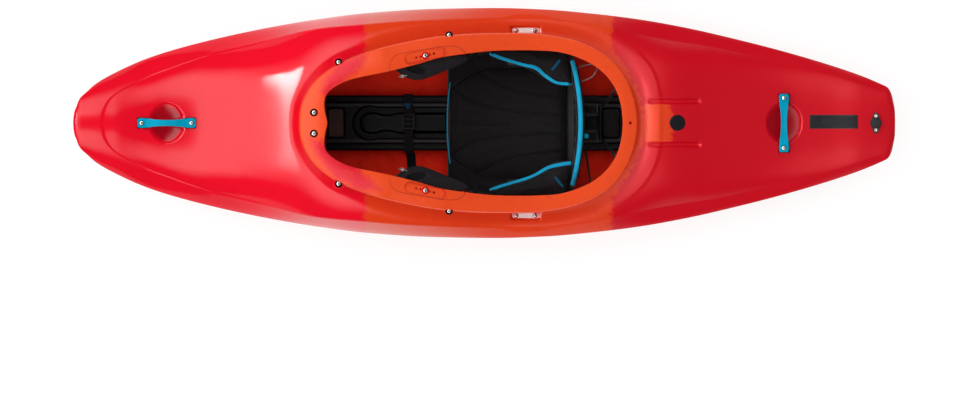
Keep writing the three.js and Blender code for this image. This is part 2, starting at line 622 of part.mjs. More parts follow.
// The cockpit's outlines.
const halfOpening = OPENING_WIDTH / 2;
const lipFront = OPENING_FRONT - BAND_FRONT;
const lipLength = OPENING_LENGTH + BAND_FRONT + BAND_REAR;
const halfLip = halfOpening + BAND_SIDE;
const troughFront = lipFront - TROUGH_FRONT;
const troughLength = lipLength + TROUGH_FRONT + TROUGH_REAR;
const halfTrough = halfLip + TROUGH_SIDE;
const lipShare = (x) => (x - lipFront) / lipLength;
const rimAt = (x) => HEIGHT * along(rimTallShares, lipShare(x));
const lipAt = (x) => HEIGHT * along(lipTallShares, lipShare(x));
const mirroredRow = (row) => row.map((value, i) => (i % 2 ? -value : value));
const otherSide = cockpitShares.slice(1, -1).reverse().map(mirroredRow);
const cockpitRows = [...cockpitShares, ...otherSide].map(([lx, ly, ox, oy, tx, ty]) => ({
  lip: [lipFront + lx * lipLength, ly * halfLip],
  opening: [OPENING_FRONT + ox * OPENING_LENGTH, oy * halfOpening],
  trough: [troughFront + tx * troughLength, ty * halfTrough] }));

const mixed = (a, b, t) => [a[0] + (b[0] - a[0]) * t, a[1] + (b[1] - a[1]) * t];
const bandWidth = ({ lip, opening }) => Math.hypot(lip[0] - opening[0], lip[1] - opening[1]);
// A place on the band of a row, a distance in from the lip's edge, and the band's height there.
const inFromLip = (row, distance) => mixed(row.lip, row.opening, distance / bandWidth(row));
function bandTop(row, distance) {
  const low = lipAt(row.lip[0]);
  const share = Math.min(1, distance / bandWidth(row));
  return low + (rimAt(row.opening[0]) - low) * Math.sin((Math.PI / 2) * share);
}

function coamingRing(row) {
  const wide = bandWidth(row);
  const lip = lipAt(row.lip[0]);
  const under = lip - LIP_DEEP * along(lipDeepShares, lipShare(row.lip[0]));
  const foot = inFromLip(row, RISER_BACK);
  const footZ = deckAt(...foot) - TROUGH_DEEP - RISER_JOIN;
  const profile = [[wide, bandTop(row, wide)], [wide / 2, bandTop(row, wide / 2)],
    [LIP_ROUND, bandTop(row, LIP_ROUND)], [0, lip - LIP_ROUND], [0, under], [LIP_THICK, under],
    [RISER_BACK, lip - LIP_TOP_THICK], [RISER_BACK, footZ], [RISER_BACK + WALL, footZ],
    [RISER_BACK + WALL, bandTop(row, RISER_BACK + WALL) - WALL], [wide, bandTop(row, wide) - WALL]];
  return profile.map(([distance, z]) => [...inFromLip(row, distance), z]);
}

function troughRing(row) {
  const foot = inFromLip(row, RISER_BACK + OVERRUN);
  const floor = mixed(foot, row.trough, 1 / 2);
  const high = HEIGHT + OVERRUN;
  return [[...foot, deckAt(...foot) - TROUGH_DEEP], [...floor, deckAt(...floor) - TROUGH_DEEP * 0.9],
    [...row.trough, deckAt(...row.trough) + GAP], [...row.trough, high], [...foot, high]];
}

const coaming = loft(cockpitRows.map(coamingRing), true);
const trough = loft(cockpitRows.map(troughRing), true);
const mouthOutline = cockpitRows.map((row) => inFromLip(row, RISER_BACK + WALL / 2));
const mouth = prism(mouthOutline, [CUT_FLOOR, HEIGHT + OVERRUN]);

// Height of the coaming's top at the place on it that is nearest to a point.
function coamingTopAt(x, y) {
  let best = { away: Infinity, z: HEIGHT };
  cockpitRows.forEach((row, i) => {
    const next = cockpitRows[(i + 1) % cockpitRows.length];
    for (let t = 0; t < 1; t += 1 / 8) {
      for (let d = 0; d <= 1; d += 1 / 8) {
        const [here, there] = [inFromLip(row, d * bandWidth(row)), inFromLip(next, d * bandWidth(next))];
        const [px, py] = mixed(here, there, t);
        const away = Math.hypot(px - x, py - y);
        const z = bandTop(row, d * bandWidth(row)) * (1 - t) + bandTop(next, d * bandWidth(next)) * t;
        if (away < best.away) best = { away, z };
      }
    }
  });
  return best.z;
}

// Hollows in the decks: a bowl under each handle, and the two grooves behind the cockpit.
const bowHandleX = stationX(bowHandleShare);
const sternHandleX = stationX(sternHandleShare);
const drainX = stationX(drainShare);
const grooveX = stationX(grooveShare);
const BOWL_SIDES = 12;
const BOWL_RINGS = 6;
function bowl(x) {
  const form = new THREE.SphereGeometry(1, BOWL_SIDES, BOWL_RINGS);
  return solidOf(form.scale(BOWL_LONG / 2, BOWL_WIDE / 2, BOWL_DEEP).translate(x, 0, deckAt(x, 0)));
}
function groove(sign) {
  const y = (sign * GROOVE_SPACING) / 2;
  const rings = [];
  for (let i = 0; i <= BOWL_RINGS; i++) {
    const x = grooveX + GROOVE_LENGTH * (i / BOWL_RINGS - 1 / 2);
    const [top, deep] = [deckAt(x, y), GROOVE_DEEP * Math.sqrt(Math.sin((Math.PI * i) / BOWL_RINGS))];
    const [low, high] = reach(y, GROOVE_WIDTH);
    rings.push([[x, low, top + OVERRUN], [x, low, top], [x, y, top - deep - GAP], [x, high, top],
      [x, high, top + OVERRUN]]);
  }
  return loft(rings);
}

// Side plates: each stands on a flat pressed into the deck.
const plateReach = reach(PLATE_CENTRE, PLATE_LENGTH + 2 * SEAT_MARGIN);
const plateSides = reach(PLATE_SIDE, PLATE_WIDTH + 2 * SEAT_MARGIN);
const plateSeat = Math.min(...plateReach.flatMap((x) => plateSides.map((y) => deckAt(x, y)))) - TROUGH_DEEP;
const plateFlat = block(plateReach, plateSides, [plateSeat, plateSeat + LIP_DEEP + TROUGH_DEEP]);
const pressed = unite([trough, bowl(bowHandleX), bowl(sternHandleX), groove(1), groove(-1), plateFlat,
  plateFlat.mirror([0, 1, 0])]);

// The space inside the shell, less the gap that touching pieces keep.
const room = hullForm(innerShares, WALL + GAP).subtract(lowered(pressed, WALL + GAP))
  .subtract(lowered(pressed, WALL));
const fitInside = (solid) => mainPiece(solid.intersect(room));
const fitOnDeck = (solid) => mainPiece(solid.subtract(grownForm));

// One material for each kind of surface.
const finish = (color, roughness, metalness = 0) =>
  new THREE.MeshStandardMaterial({ color, roughness, metalness });
const shellPlastic = finish(0xd92230, 0.35);
const blackPlastic = finish(0x1c1c1f, 0.5);
const blackFoam = finish(0x232326, 0.9);
const blackFabric = finish(0x211f22, 0.85);
const blueFabric = finish(0x1fa6cf, 0.8);
const blueMetal = finish(0x1fa3c4, 0.3, 0.8);
const redMetal = finish(0xc0202c, 0.3, 0.8);
const steel = finish(0xb9bcc0, 0.3, 0.9);
const aluminium = finish(0xc3c6ca, 0.4, 0.8);
const whitePlastic = finish(0xe6e6e6, 0.4);
const rubber = finish(0x18181a, 0.8);
const webbingFabric = finish(0x161618, 0.85);

const kayak = new THREE.Group();
const deckFittings = new THREE.Group();
const outfitting = new THREE.Group();
kayak.add(deckFittings, outfitting);
const SIDES = [["left", -1], ["right", 1]];

// Adds a solid, made at its own origin, to a group as a named mesh at a place.
function addMesh(group, name, solid, material, position = [0, 0, 0]) {
  const made = solid.getMesh();
  const positions = new Float32Array(made.numVert * 3);
  for (let i = 0; i < made.numVert; i++) {
    positions.set(made.vertProperties.subarray(i * made.numProp, i * made.numProp + 3), i * 3);
  }
  const geometry = new THREE.BufferGeometry();
  geometry.setAttribute("position", new THREE.BufferAttribute(positions, 3));
  geometry.setIndex(new THREE.BufferAttribute(made.triVerts, 1));
  const mesh = new THREE.Mesh(geometry, material);
  mesh.name = name;
  mesh.position.set(...position);
  group.add(mesh);
  return mesh;
}

// A bolt with a socket head, its head's underside at z = 0 and its shank down.
function bolt(headRadius, headTall, shankLong) {
  const head = rod(headRadius, [0, headTall], BOLT_SIDES);
  const shank = rod(BOLT_SHANK_RADIUS, [-shankLong, headTall / 2], BOLT_SIDES);
  const socket = rod(SOCKET_RADIUS, [headTall - SOCKET_DEEP, headTall + OVERRUN], SOCKET_SIDES);
  return head.add(shank).subtract(socket);
}
const holeRadius = BOLT_SHANK_RADIUS + HOLE_CLEARANCE;
const boltHole = (deep, above = OVERRUN) => rod(holeRadius, [-deep, above], BOLT_SIDES);

// Cuts and bosses that the shell gets for what is bolted to it.
const shellCuts = [];
const shellBosses = [];

// Coaming bolts. Each stands in a flat seat cut into the band, or on a boss beside it.
const bossRadius = BOLT_HEAD_RADIUS + SEAT_MARGIN + LIP_THICK / 2;
const rimBolts = [
  { name: "front_rim_bolt", x: FRONT_BOLT_X, y: FRONT_BOLT_Y, boss: false },
  { name: "side_rim_bolt", x: SIDE_BOLT_X, y: SIDE_BOLT_Y, boss: true },
  { name: "deck_bolt", x: DECK_BOLT_X, y: DECK_BOLT_Y, boss: true }];
for (const [side, sign] of SIDES) {
  for (const { name, x, y, boss } of rimBolts) {
    const seat = coamingTopAt(x, y) - (boss ? BOLT_HEAD_TALL : SEAT_DEEP);
    const place = [x, sign * y, seat];
    if (boss) shellBosses.push(rod(bossRadius, [-LIP_DEEP, BOLT_HEAD_TALL / 2]).translate(place));
    shellCuts.push(rod(BOLT_HEAD_RADIUS + SEAT_MARGIN, [0, HEIGHT]).translate(place));
    shellCuts.push(boltHole(BOLT_REACH + LIP_DEEP).translate(place));
    addMesh(deckFittings, `${name}_${side}`, bolt(BOLT_HEAD_RADIUS, BOLT_HEAD_TALL, BOLT_REACH), steel,
      [x, sign * y, seat + GAP]);
  }
}

// A handle lies along a line over its two screws; its feet stand on pads, and its middle arches.
const handleScrewAt = HANDLE_LENGTH / 2 - HANDLE_SCREW_IN;
function addHandle(name, centreX, turned, ends) {
  const toWorld = (p, q) => (turned ? [centreX - q, p] : [centreX + p, q]);
  const deckUnder = (p) => Math.max(...reach(0, HANDLE_WIDTH).map((q) => deckAt(...toWorld(p, q))));
  const feet = reach(0, 2 * handleScrewAt).map((p) => deckUnder(p) + PAD_THICK);
  const line = (p) => (feet[0] + feet[1]) / 2 + ((feet[1] - feet[0]) * p) / (2 * handleScrewAt);
  const edge = HANDLE_EDGE;
  const bar = loft(handleStationShares.map((share) => {
    const p = (share * HANDLE_LENGTH) / 2;
    const half = (HANDLE_WIDTH / 2) * along(handleWideShares, Math.abs(share));
    const low = line(p) + GAP + HANDLE_ARCH * along(handleLiftShares, Math.abs(share));
    const high = low + HANDLE_THICK;
    return [[-half + edge, low], [half - edge, low], [half, low + edge], [half, high - edge],
      [half - edge, high], [-half + edge, high], [-half, high - edge], [-half, low + edge]]
      .map(([q, z]) => [...toWorld(p, q), z]);
  }));
  const cuts = [];
  ends.forEach((end, i) => {
    const sign = i ? 1 : -1;
    const screw = sign * handleScrewAt;
    const seat = line(screw) + GAP + HANDLE_THICK - SEAT_DEEP;
    const [x, y] = toWorld(screw, 0);
    cuts.push(rod(SCREW_HEAD_RADIUS + SEAT_DEEP, [0, HANDLE_THICK]).translate([x, y, seat]));
    cuts.push(boltHole(HANDLE_THICK + OVERRUN).translate([x, y, seat]));
    const padInner = sign * (HANDLE_LENGTH / 2 - PAD_LENGTH);
    const padOuter = sign * (HANDLE_LENGTH / 2 + PAD_MARGIN);
    const halfPad = HANDLE_WIDTH / 2 + PAD_MARGIN;
    const pad = loft([padInner, padOuter].map((p) =>
      [[-halfPad, line(p)], [halfPad, line(p)], [halfPad, line(p) - 2 * WALL], [-halfPad, line(p) - 2 * WALL]]
        .map(([q, z]) => [...toWorld(p, q), z])));
    const hole = boltHole(LIP_DEEP + WALL, WALL).translate([x, y, seat - HANDLE_THICK]);
    addMesh(deckFittings, `${name}_pad_${end}`, fitOnDeck(pad).subtract(hole), rubber);
    shellCuts.push(hole);
    const screwLong = HANDLE_THICK + PAD_THICK + 2 * WALL;
    addMesh(deckFittings, `${name}_screw_${end}`, bolt(SCREW_HEAD_RADIUS, SCREW_HEAD_TALL, screwLong), steel,
      [x, y, seat + GAP]);
  });
  addMesh(deckFittings, name, bar.subtract(unite(cuts)), blueMetal);
}
addHandle("bow_handle", bowHandleX, false, ["front", "rear"]);
addHandle("stern_handle", sternHandleX, true, ["left", "right"]);

// Drain: a flange and boss on the deck, and a plug with a seal that screws into its bore.
const flangeTop = deckAt(drainX, 0) + DRAIN_FLANGE_THICK;
const bossTop = flangeTop + DRAIN_BOSS_TALL;
const diamond = [[DRAIN_WIDE / 2, 0], [DRAIN_WIDE / 3, DRAIN_LONG / 5], [DRAIN_WIDE / 7, DRAIN_LONG / 2]];
const diamondOutline = [[1, 1], [-1, 1], [-1, -1], [1, -1]].flatMap(([u, v], i) => {
  const quarter = diamond.map(([x, y]) => [u * x, v * y]);
  const ordered = i % 2 ? quarter.reverse() : quarter;
  return i % 2 ? ordered : ordered.slice(1);
}).filter(([x, y], i, all) => !all.slice(0, i).some(([a, b]) => Math.hypot(a - x, b - y) < GAP));
const drainBoss = rod(DRAIN_BOSS_RADIUS, [0, DRAIN_FLANGE_THICK + DRAIN_BOSS_TALL]);
const flange = prism(diamondOutline, [-WALL, DRAIN_FLANGE_THICK]).add(drainBoss);
const drainBase = [drainX, 0, deckAt(drainX, 0)];
const drainScrews = reach(0, DRAIN_SCREW_SPACING);
const drainScrewHole = boltHole(LIP_DEEP, LIP_DEEP);
const drainScrewHoles = drainScrews.map((y) => drainScrewHole.translate([drainX, y, flangeTop]));
const drainBore = rod(DRAIN_BORE_RADIUS, [-HEIGHT, HEIGHT]).translate(drainBase);
const drainHousing = fitOnDeck(flange.translate(drainBase)).subtract(unite([drainBore, ...drainScrewHoles]));
addMesh(deckFittings, "drain_housing", drainHousing, blackPlastic);
const drainScrew = bolt(SCREW_HEAD_RADIUS - 2 * HOLE_CLEARANCE, SCREW_HEAD_TALL, LIP_DEEP - WALL);
SIDES.forEach(([side], i) =>
  addMesh(deckFittings, `drain_screw_${side}`, drainScrew, steel, [drainX, drainScrews[i], flangeTop + GAP]));
const sealBore = rod(PLUG_SHANK_RADIUS + GAP, [-OVERRUN, SEAL_THICK + OVERRUN]);
const seal = rod(PLUG_CAP_RADIUS, [0, SEAL_THICK]).subtract(sealBore);
addMesh(deckFittings, "drain_seal", seal, rubber, [drainX, 0, bossTop + GAP]);
const plugZ = bossTop + SEAL_THICK + 2 * GAP;
const gripHeights = [PLUG_CAP_TALL - OVERRUN, PLUG_CAP_TALL + PLUG_GRIP_TALL];
const grip = block(reach(0, PLUG_GRIP_WIDE), reach(0, 2 * PLUG_CAP_RADIUS - PLUG_GRIP_WIDE), gripHeights);
const plugShank = rod(PLUG_SHANK_RADIUS, [-PLUG_SHANK_LONG, OVERRUN]);
const plug = unite([rod(PLUG_CAP_RADIUS, [0, PLUG_CAP_TALL]), plugShank, grip]);
addMesh(deckFittings, "drain_plug", plug, blackPlastic, [drainX, 0, plugZ]);
const shellBore = rod(DRAIN_BORE_RADIUS, [-LIP_DEEP, LIP_DEEP]).translate(drainBase);
const rimHole = rod(RIM_HOLE_RADIUS, [-LIP_DEEP, LIP_DEEP]);
shellCuts.push(unite([shellBore, ...drainScrewHoles]));
shellCuts.push(rimHole.translate([OPENING_REAR + BAND_REAR / 2, 0, rimAt(OPENING_REAR)]));

// Side plates on their flats, with brackets under the deck that hold the seat's sides.
const plateBolts = reach(PLATE_CENTRE, PLATE_BOLT_SPACING);
const plateHoles = unite(plateBolts.map((x) => boltHole(HEIGHT, HEIGHT).translate([x, PLATE_SIDE, 0])));
const plate = prism(slotOutline(PLATE_LENGTH, PLATE_WIDTH), [plateSeat + GAP, plateSeat + GAP + PLATE_THICK])
  .translate([PLATE_CENTRE, PLATE_SIDE, 0]).subtract(plateHoles);
const seatHalf = SEAT_WIDTH / 2;
const flangeZ = plateSeat - WALL - GAP;
const bracketReach = reach(PLATE_CENTRE, PLATE_LENGTH);
const bracketOut = PLATE_SIDE + BRACKET_MARGIN;
const bracketIn = seatHalf + GAP;
const bracketTop = block(bracketReach, [bracketIn, bracketOut], [flangeZ - BRACKET_THICK, flangeZ]);
const bracketSide = block(bracketReach, [bracketIn, bracketIn + BRACKET_THICK], [BRACKET_FOOT, flangeZ]);
const bracket = fitInside(bracketTop.add(bracketSide)).subtract(plateHoles);
const plateBoltZ = plateSeat + PLATE_THICK + 2 * GAP;
const plateBoltLong = PLATE_THICK + WALL + BRACKET_THICK + 2 * GAP + OVERRUN;
const plateBolt = bolt(SCREW_HEAD_RADIUS, SCREW_HEAD_TALL, plateBoltLong);
const seatHoles = unite(plateBolts.map((x) => boltHole(LIP_DEEP).translate([x, PLATE_SIDE, plateSeat])));
const facing = (solid, sign) => (sign < 0 ? solid.mirror([0, 1, 0]) : solid);
for (const [side, sign] of SIDES) {
  addMesh(deckFittings, `side_plate_${side}`, facing(plate, sign), whitePlastic);
  addMesh(outfitting, `seat_bracket_${side}`, facing(bracket, sign), aluminium);
  plateBolts.forEach((x, i) => addMesh(deckFittings, `side_plate_bolt_${side}_${i ? "rear" : "front"}`,
    plateBolt, steel, [x, sign * PLATE_SIDE, plateBoltZ]));
  shellCuts.push(facing(seatHoles, sign));
}

// The frame of a thigh brace has its origin at the bolt and its x along the slot. The left brace
// is the right one mirrored.
const bracePlane = coamingTopAt(BRACE_X, BRACE_Y) - POCKET_DEEP;
const braceAlong = new THREE.Vector3(1, BRACE_TURN_SHARE, BRACE_SLOPE_SHARE).normalize();
const braceAcross = new THREE.Vector3(0, 0, 1).cross(braceAlong).normalize();
const braceUp = braceAlong.clone().cross(braceAcross);
const braceFrame = new THREE.Matrix4().makeBasis(braceAlong, braceAcross, braceUp);
braceFrame.setPosition(BRACE_X, BRACE_Y, bracePlane);
const placed = (solid, sign) => facing(solid.transform(braceFrame.elements), sign);

// The hook: a plate that reaches inwards and droops, with a raised boss at the bolt.
const braceLength = BRACE_REAR_END - BRACE_FRONT_END;
const braceSlotLength = 2 * (BRACE_TRAVEL + holeRadius + HOLE_CLEARANCE);
const plateTop = -WALL - GAP - BRACE_BOSS_TALL;
function braceSurface(x, y) {
  const inwards = Math.max(0, -y - BRACE_BACK) / (BRACE_REACH - BRACE_BACK);
  return plateTop - BRACE_DROP * inwards * inwards - BRACE_SAG * (x / BRACE_REAR_END) ** 2;
}
function bracePlate(top, thick, inset, backEdge) {
  return loft(braceStationShares.map((share, i) => {
    const ends = i === 0 ? inset : i === braceStationShares.length - 1 ? -inset : 0;
    const x = BRACE_FRONT_END + share * braceLength + ends;
    const inner = -BRACE_REACH * along(braceReachShares, share) + inset;
    const outer = Math.min(BRACE_BACK * along(braceBackShares, share), backEdge);
    const ys = braceCrossShares.map((c) => outer + (inner - outer) * c);
    const upper = ys.map((y) => [x, y, braceSurface(x, y) - top]);
    return [...upper, ...[...upper].reverse().map(([a, b, z]) => [a, b, z - thick])];
  }));
}
const bossTopZ = -WALL - GAP;
const braceBossOutline = slotOutline(BRACE_BOSS_LENGTH, 2 * BRACE_BACK);
const braceBoss = prism(braceBossOutline, [plateTop - BRACE_THICK / 2, bossTopZ]);
const braceSlot = prism(slotOutline(braceSlotLength, 2 * holeRadius), [-HEIGHT, 0]);
const screwSeat = braceSurface(BRACE_SCREW_X, -BRACE_SCREW_Y) - SEAT_DEEP;
const screwPlace = [BRACE_SCREW_X, -BRACE_SCREW_Y, screwSeat];
const studHole = rod(STUD_RADIUS + HOLE_CLEARANCE, [-HEIGHT, 0]);
const screwSeatCut = rod(WING_SPAN / 2 + SEAT_MARGIN, [0, BRACE_THICK]).add(studHole).translate(screwPlace);
const bracePlain = bracePlate(0, BRACE_THICK, 0, BRACE_BACK);
const brace = bracePlain.add(braceBoss).subtract(braceSlot).subtract(screwSeatCut);
const bracePad = mainPiece(bracePlate(BRACE_THICK + GAP, BRACE_PAD_THICK, BRACE_PAD_INSET, -BRACE_BACK)
  .subtract(lowered(bracePlain, GAP)).subtract(screwSeatCut));
const washer = rod(WASHER_RADIUS, [GAP, GAP + WASHER_THICK]).subtract(boltHole(OVERRUN, LIP_DEEP));
const braceBoltZ = WASHER_THICK + 2 * GAP;
const braceBoltLong = braceBoltZ + WALL + BRACE_BOSS_TALL + BRACE_THICK + OVERRUN;
const braceBolt = bolt(BOLT_HEAD_RADIUS - OVERRUN, BOLT_HEAD_TALL, braceBoltLong);
const wing = block(reach(0, WING_SPAN), reach(0, WING_THICK), [WING_TALL / 2, WING_TALL + WING_FIN_TALL]);
const stud = rod(STUD_RADIUS, [-BRACE_THICK - STUD_REACH, WING_TALL / 2]);
const wingScrew = unite([rod(WING_RADIUS, [GAP, GAP + WING_TALL]), stud, wing]);
const pocketOutline = slotOutline(POCKET_LENGTH, POCKET_WIDTH);
const pocketFloor = prism(pocketOutline, [-WALL, 0]);
const pocketAbove = prism(pocketOutline, [0, LIP_DEEP]);
const pocketBelow = prism(pocketOutline, [-LIP_DEEP, -WALL]);
const bracePockets = [];
for (const [side, sign] of SIDES) {
  addMesh(outfitting, `thigh_brace_${side}`, placed(brace, sign), blackPlastic);
  addMesh(outfitting, `thigh_brace_pad_${side}`, placed(bracePad, sign), blackFoam);
  addMesh(outfitting, `brace_wing_screw_${side}`, placed(wingScrew.translate(screwPlace), sign), steel);
  addMesh(deckFittings, `thigh_brace_washer_${side}`, placed(washer, sign), redMetal);
  addMesh(deckFittings, `thigh_brace_bolt_${side}`, placed(lowered(braceBolt, -braceBoltZ), sign), steel);
  bracePockets.push({ floor: placed(pocketFloor, sign), above: placed(pocketAbove, sign),
    below: placed(pocketBelow, sign), hole: placed(boltHole(LIP_DEEP), sign) });
}

// The shell: outside less inside, with the pressed hollows, the mouth, the coaming and its cuts.
let shell = outerForm.subtract(pressed).subtract(innerForm.subtract(lowered(pressed, WALL)));
shell = shell.subtract(mouth).add(coaming);
for (const { floor, above, below, hole } of bracePockets) {
  shell = shell.subtract(below).add(floor).subtract(above).subtract(hole);
}
shell = shell.add(unite(shellBosses)).subtract(unite(shellCuts));
addMesh(kayak, "hull_shell", mainPiece(shell), shellPlastic);

// The beam along the floor, with a keyhole channel, and a tray at each end.
const beamHalf = BEAM_WIDTH / 2;
const channelHeights = [BEAM_TOP - CHANNEL_DEEP, BEAM_TOP + OVERRUN];
const keyhole = (radius, half) => rod(radius, channelHeights, BOWL_SIDES).translate([KEYHOLE_CENTRE, 0, 0])
  .add(block([KEYHOLE_CENTRE, CHANNEL_REAR], reach(0, 2 * half), channelHeights));
const channel = keyhole(KEYHOLE_RADIUS, CHANNEL_OUT).subtract(keyhole(KEYHOLE_PLATEAU_RADIUS, CHANNEL_IN));
const trayHeights = [BEAM_TOP - TRAY_DEEP, BEAM_TOP + OVERRUN];
const tray = (from) => block([from, from + TRAY_LENGTH], reach(0, TRAY_WIDTH), trayHeights);
const trays = [tray(BEAM_FRONT + TRAY_MARGIN), tray(BEAM_REAR - TRAY_MARGIN - TRAY_LENGTH)];
const beamBlock = fitInside(block([BEAM_FRONT, BEAM_REAR], reach(0, BEAM_WIDTH), [0, BEAM_TOP]));
addMesh(outfitting, "floor_beam", beamBlock.subtract(unite([channel, ...trays])), blackFoam);
const strapIn = beamHalf + GAP;
const strapTop = BEAM_TOP + GAP + STRAP_THICK;
const strapOuter = block(reach(STRAP_CENTRE, STRAP_WIDTH), reach(0, 2 * (strapIn + STRAP_THICK)),
  [BEAM_TOP - STRAP_DROP, strapTop]);
const strapHollow = block(reach(STRAP_CENTRE, STRAP_WIDTH + OVERRUN), reach(0, 2 * strapIn),
  [0, BEAM_TOP + GAP]);
addMesh(outfitting, "beam_strap", strapOuter.subtract(strapHollow), webbingFabric);

// Foam walls at the bow and the stern.
const pillarReaches = { bow_pillar: [BOW_PILLAR_FRONT, BOW_PILLAR_REAR],
  stern_pillar: [STERN_PILLAR_FRONT, STERN_PILLAR_REAR] };
const screwRooms = unite(reach(bowHandleX, 2 * handleScrewAt)
  .map((x) => boltHole(HEIGHT / 2, 0).translate([x, 0, deckAt(x, 0)])));
for (const [name, ends] of Object.entries(pillarReaches)) {
  const pillar = fitInside(block(ends, reach(0, PILLAR_WIDTH), [0, HEIGHT]));
  addMesh(outfitting, name, pillar.subtract(screwRooms), blackFoam);
}

// The footrest has the section that the hull has at the front end of its travel, less a margin.
const footRing = (inset) => insetRing(sectionRing(shareAt(FOOTREST_FORWARD)), WALL + inset);
const footSlab = (layers) => loft(layers.map(([x, inset]) => footRing(inset).map(([y, z]) => [x, y, z])));
const footFace = FOOTREST_X + GAP;
const footPlate = footSlab([FOOTREST_X - FOOTREST_THICK, FOOTREST_X].map((x) => [x, FOOTREST_MARGIN]));
const footFoam = footSlab([[footFace, FOAM_MARGIN], [footFace + FOAM_THICK - FOAM_ROUND, FOAM_MARGIN],
  [footFace + FOAM_THICK, FOAM_MARGIN + FOAM_ROUND]]);
addMesh(outfitting, "footrest_plate", footPlate, blackPlastic);
addMesh(outfitting, "footrest_foam", footFoam, blackFoam);

// Half width of a ring at a height.
function widthAt(ring, height) {
  const across = ring.filter(([y]) => y > 0);
  const above = across.findIndex(([, z]) => z > height);
  const [[y0, z0], [y1, z1]] = [across[above - 1], across[above]];
  return y0 + ((y1 - y0) * (height - z0)) / (z1 - z0);
}
const railSide = widthAt(footRing(FOOTREST_MARGIN), RAIL_HEIGHT) - RAIL_IN;
const rail = block([footFace, RAIL_REAR], reach(railSide, RAIL_THICK), reach(RAIL_HEIGHT, RAIL_TALL));
const railSlot = block(reach(RAIL_BRACKET_X, 2 * RAIL_BRACKET_LENGTH),
  reach(railSide, RAIL_THICK + 2 * RAIL_CLEARANCE), reach(RAIL_HEIGHT, RAIL_TALL + 2 * RAIL_CLEARANCE));
const railBracket = fitInside(block(reach(RAIL_BRACKET_X, RAIL_BRACKET_LENGTH),
  [railSide - RAIL_BRACKET_IN, HALF_BEAM], reach(RAIL_HEIGHT, RAIL_BRACKET_TALL))).subtract(railSlot);
for (const [side, sign] of SIDES) {
  addMesh(outfitting, `footrest_rail_${side}`, facing(rail, sign), aluminium);
  addMesh(outfitting, `rail_bracket_${side}`, facing(railBracket, sign), blackPlastic);
}

// The seat pan: a bucket of even wall, with lugs at the rear for the backband's pin.
const panZ = BEAM_TOP + GAP;
const seatX = (share) => SEAT_FRONT + share * SEAT_LENGTH;
const seatWide = (share) => seatHalf * along(seatWideShares, share);
const panTop = (share) => panZ + Math.max(SEAT_CORNER / 3, SEAT_WALL_TALL * along(seatWallShares, share));
// The bucket's section, moved inwards by a wall for its hollow.
function panRing(share, inset) {
  const [wide, low] = [seatWide(share) - inset, panZ + inset];
  const top = panTop(share) + (inset ? OVERRUN : 0);
  const corner = Math.min(SEAT_CORNER, panTop(share) - panZ - OVERRUN) - inset / 2;
  const bend = corner * PAN_BEND;
  const right = [[wide - SEAT_CORNER, low], [wide - bend, low + bend], [wide, low + corner], [wide, top]];
  const left = right.map(([y, z]) => [-y, z]).reverse();
  return [...right, ...left].map(([y, z]) => [seatX(share), y, z]);
}
const panForm = loft(seatStationShares.map((share) => panRing(share, 0)));
function hollowFor(inset) {
  const rings = seatStationShares.map((share) => panRing(share, inset));
  const ends = [rings[0], rings[rings.length - 1]];
  ends.forEach((ring, i) => ring.forEach((point) => (point[0] += i ? OVERRUN : -OVERRUN)));
  return loft(rings);
}
const pinPlace = [BACKBAND_CENTRE, 0, PIN_HEIGHT];
const lugReach = [TAB_WIDTH / 2 + GAP, TAB_WIDTH / 2 + GAP + LUG_THICK];
const lugRoot = block([SEAT_REAR - LUG_RADIUS, BACKBAND_CENTRE + LUG_RADIUS], lugReach, [panZ, PIN_HEIGHT]);
const lug = crossRod(LUG_RADIUS, lugReach).translate(pinPlace).add(lugRoot);
const pinHole = crossRod(PIN_RADIUS + GAP, reach(0, SEAT_WIDTH)).translate(pinPlace);
const pan = unite([panForm.subtract(hollowFor(SEAT_WALL)), lug, lug.mirror([0, 1, 0])]).subtract(pinHole);
addMesh(outfitting, "seat_pan", pan, blackPlastic);
const pin = crossRod(PIN_RADIUS, reach(0, TAB_WIDTH + 2 * (LUG_THICK + OVERRUN)));
addMesh(outfitting, "backband_pin", pin, steel, pinPlace);

// The cushion: crowned, thinner at its edges, with channels along it.
const cushionZ = panZ + SEAT_WALL + CUSHION_CLEARANCE;
const cushionLength = SEAT_LENGTH - LUG_RADIUS - CUSHION_CLEARANCE;
function cushionRing(share) {
  const half = seatWide(share) - SEAT_CORNER - SEAT_WALL;
  const end = along(cushionCrownShares, share);
  const top = cushionCrossShares.map(([across, crown, deep]) =>
    [across * half, cushionZ + CUSHION_EDGE_THICK + (CUSHION_THICK - CUSHION_EDGE_THICK) * end * crown +
      CUSHION_CROWN * end * crown * (1 - across * across) - CUSHION_CHANNEL * deep * end]);
  const sideLine = [[half - OVERRUN, cushionZ + CUSHION_EDGE_THICK / 2], [half - OVERRUN, cushionZ]];
  const right = [...top, ...sideLine];
  const left = right.slice(1).reverse().map(([y, z]) => [-y, z]);
  return [...right, ...left].map(([y, z]) => [SEAT_FRONT + share * cushionLength, y, z]);
}
addMesh(outfitting, "seat_cushion", loft(cushionStationShares.map(cushionRing)), blackFabric);

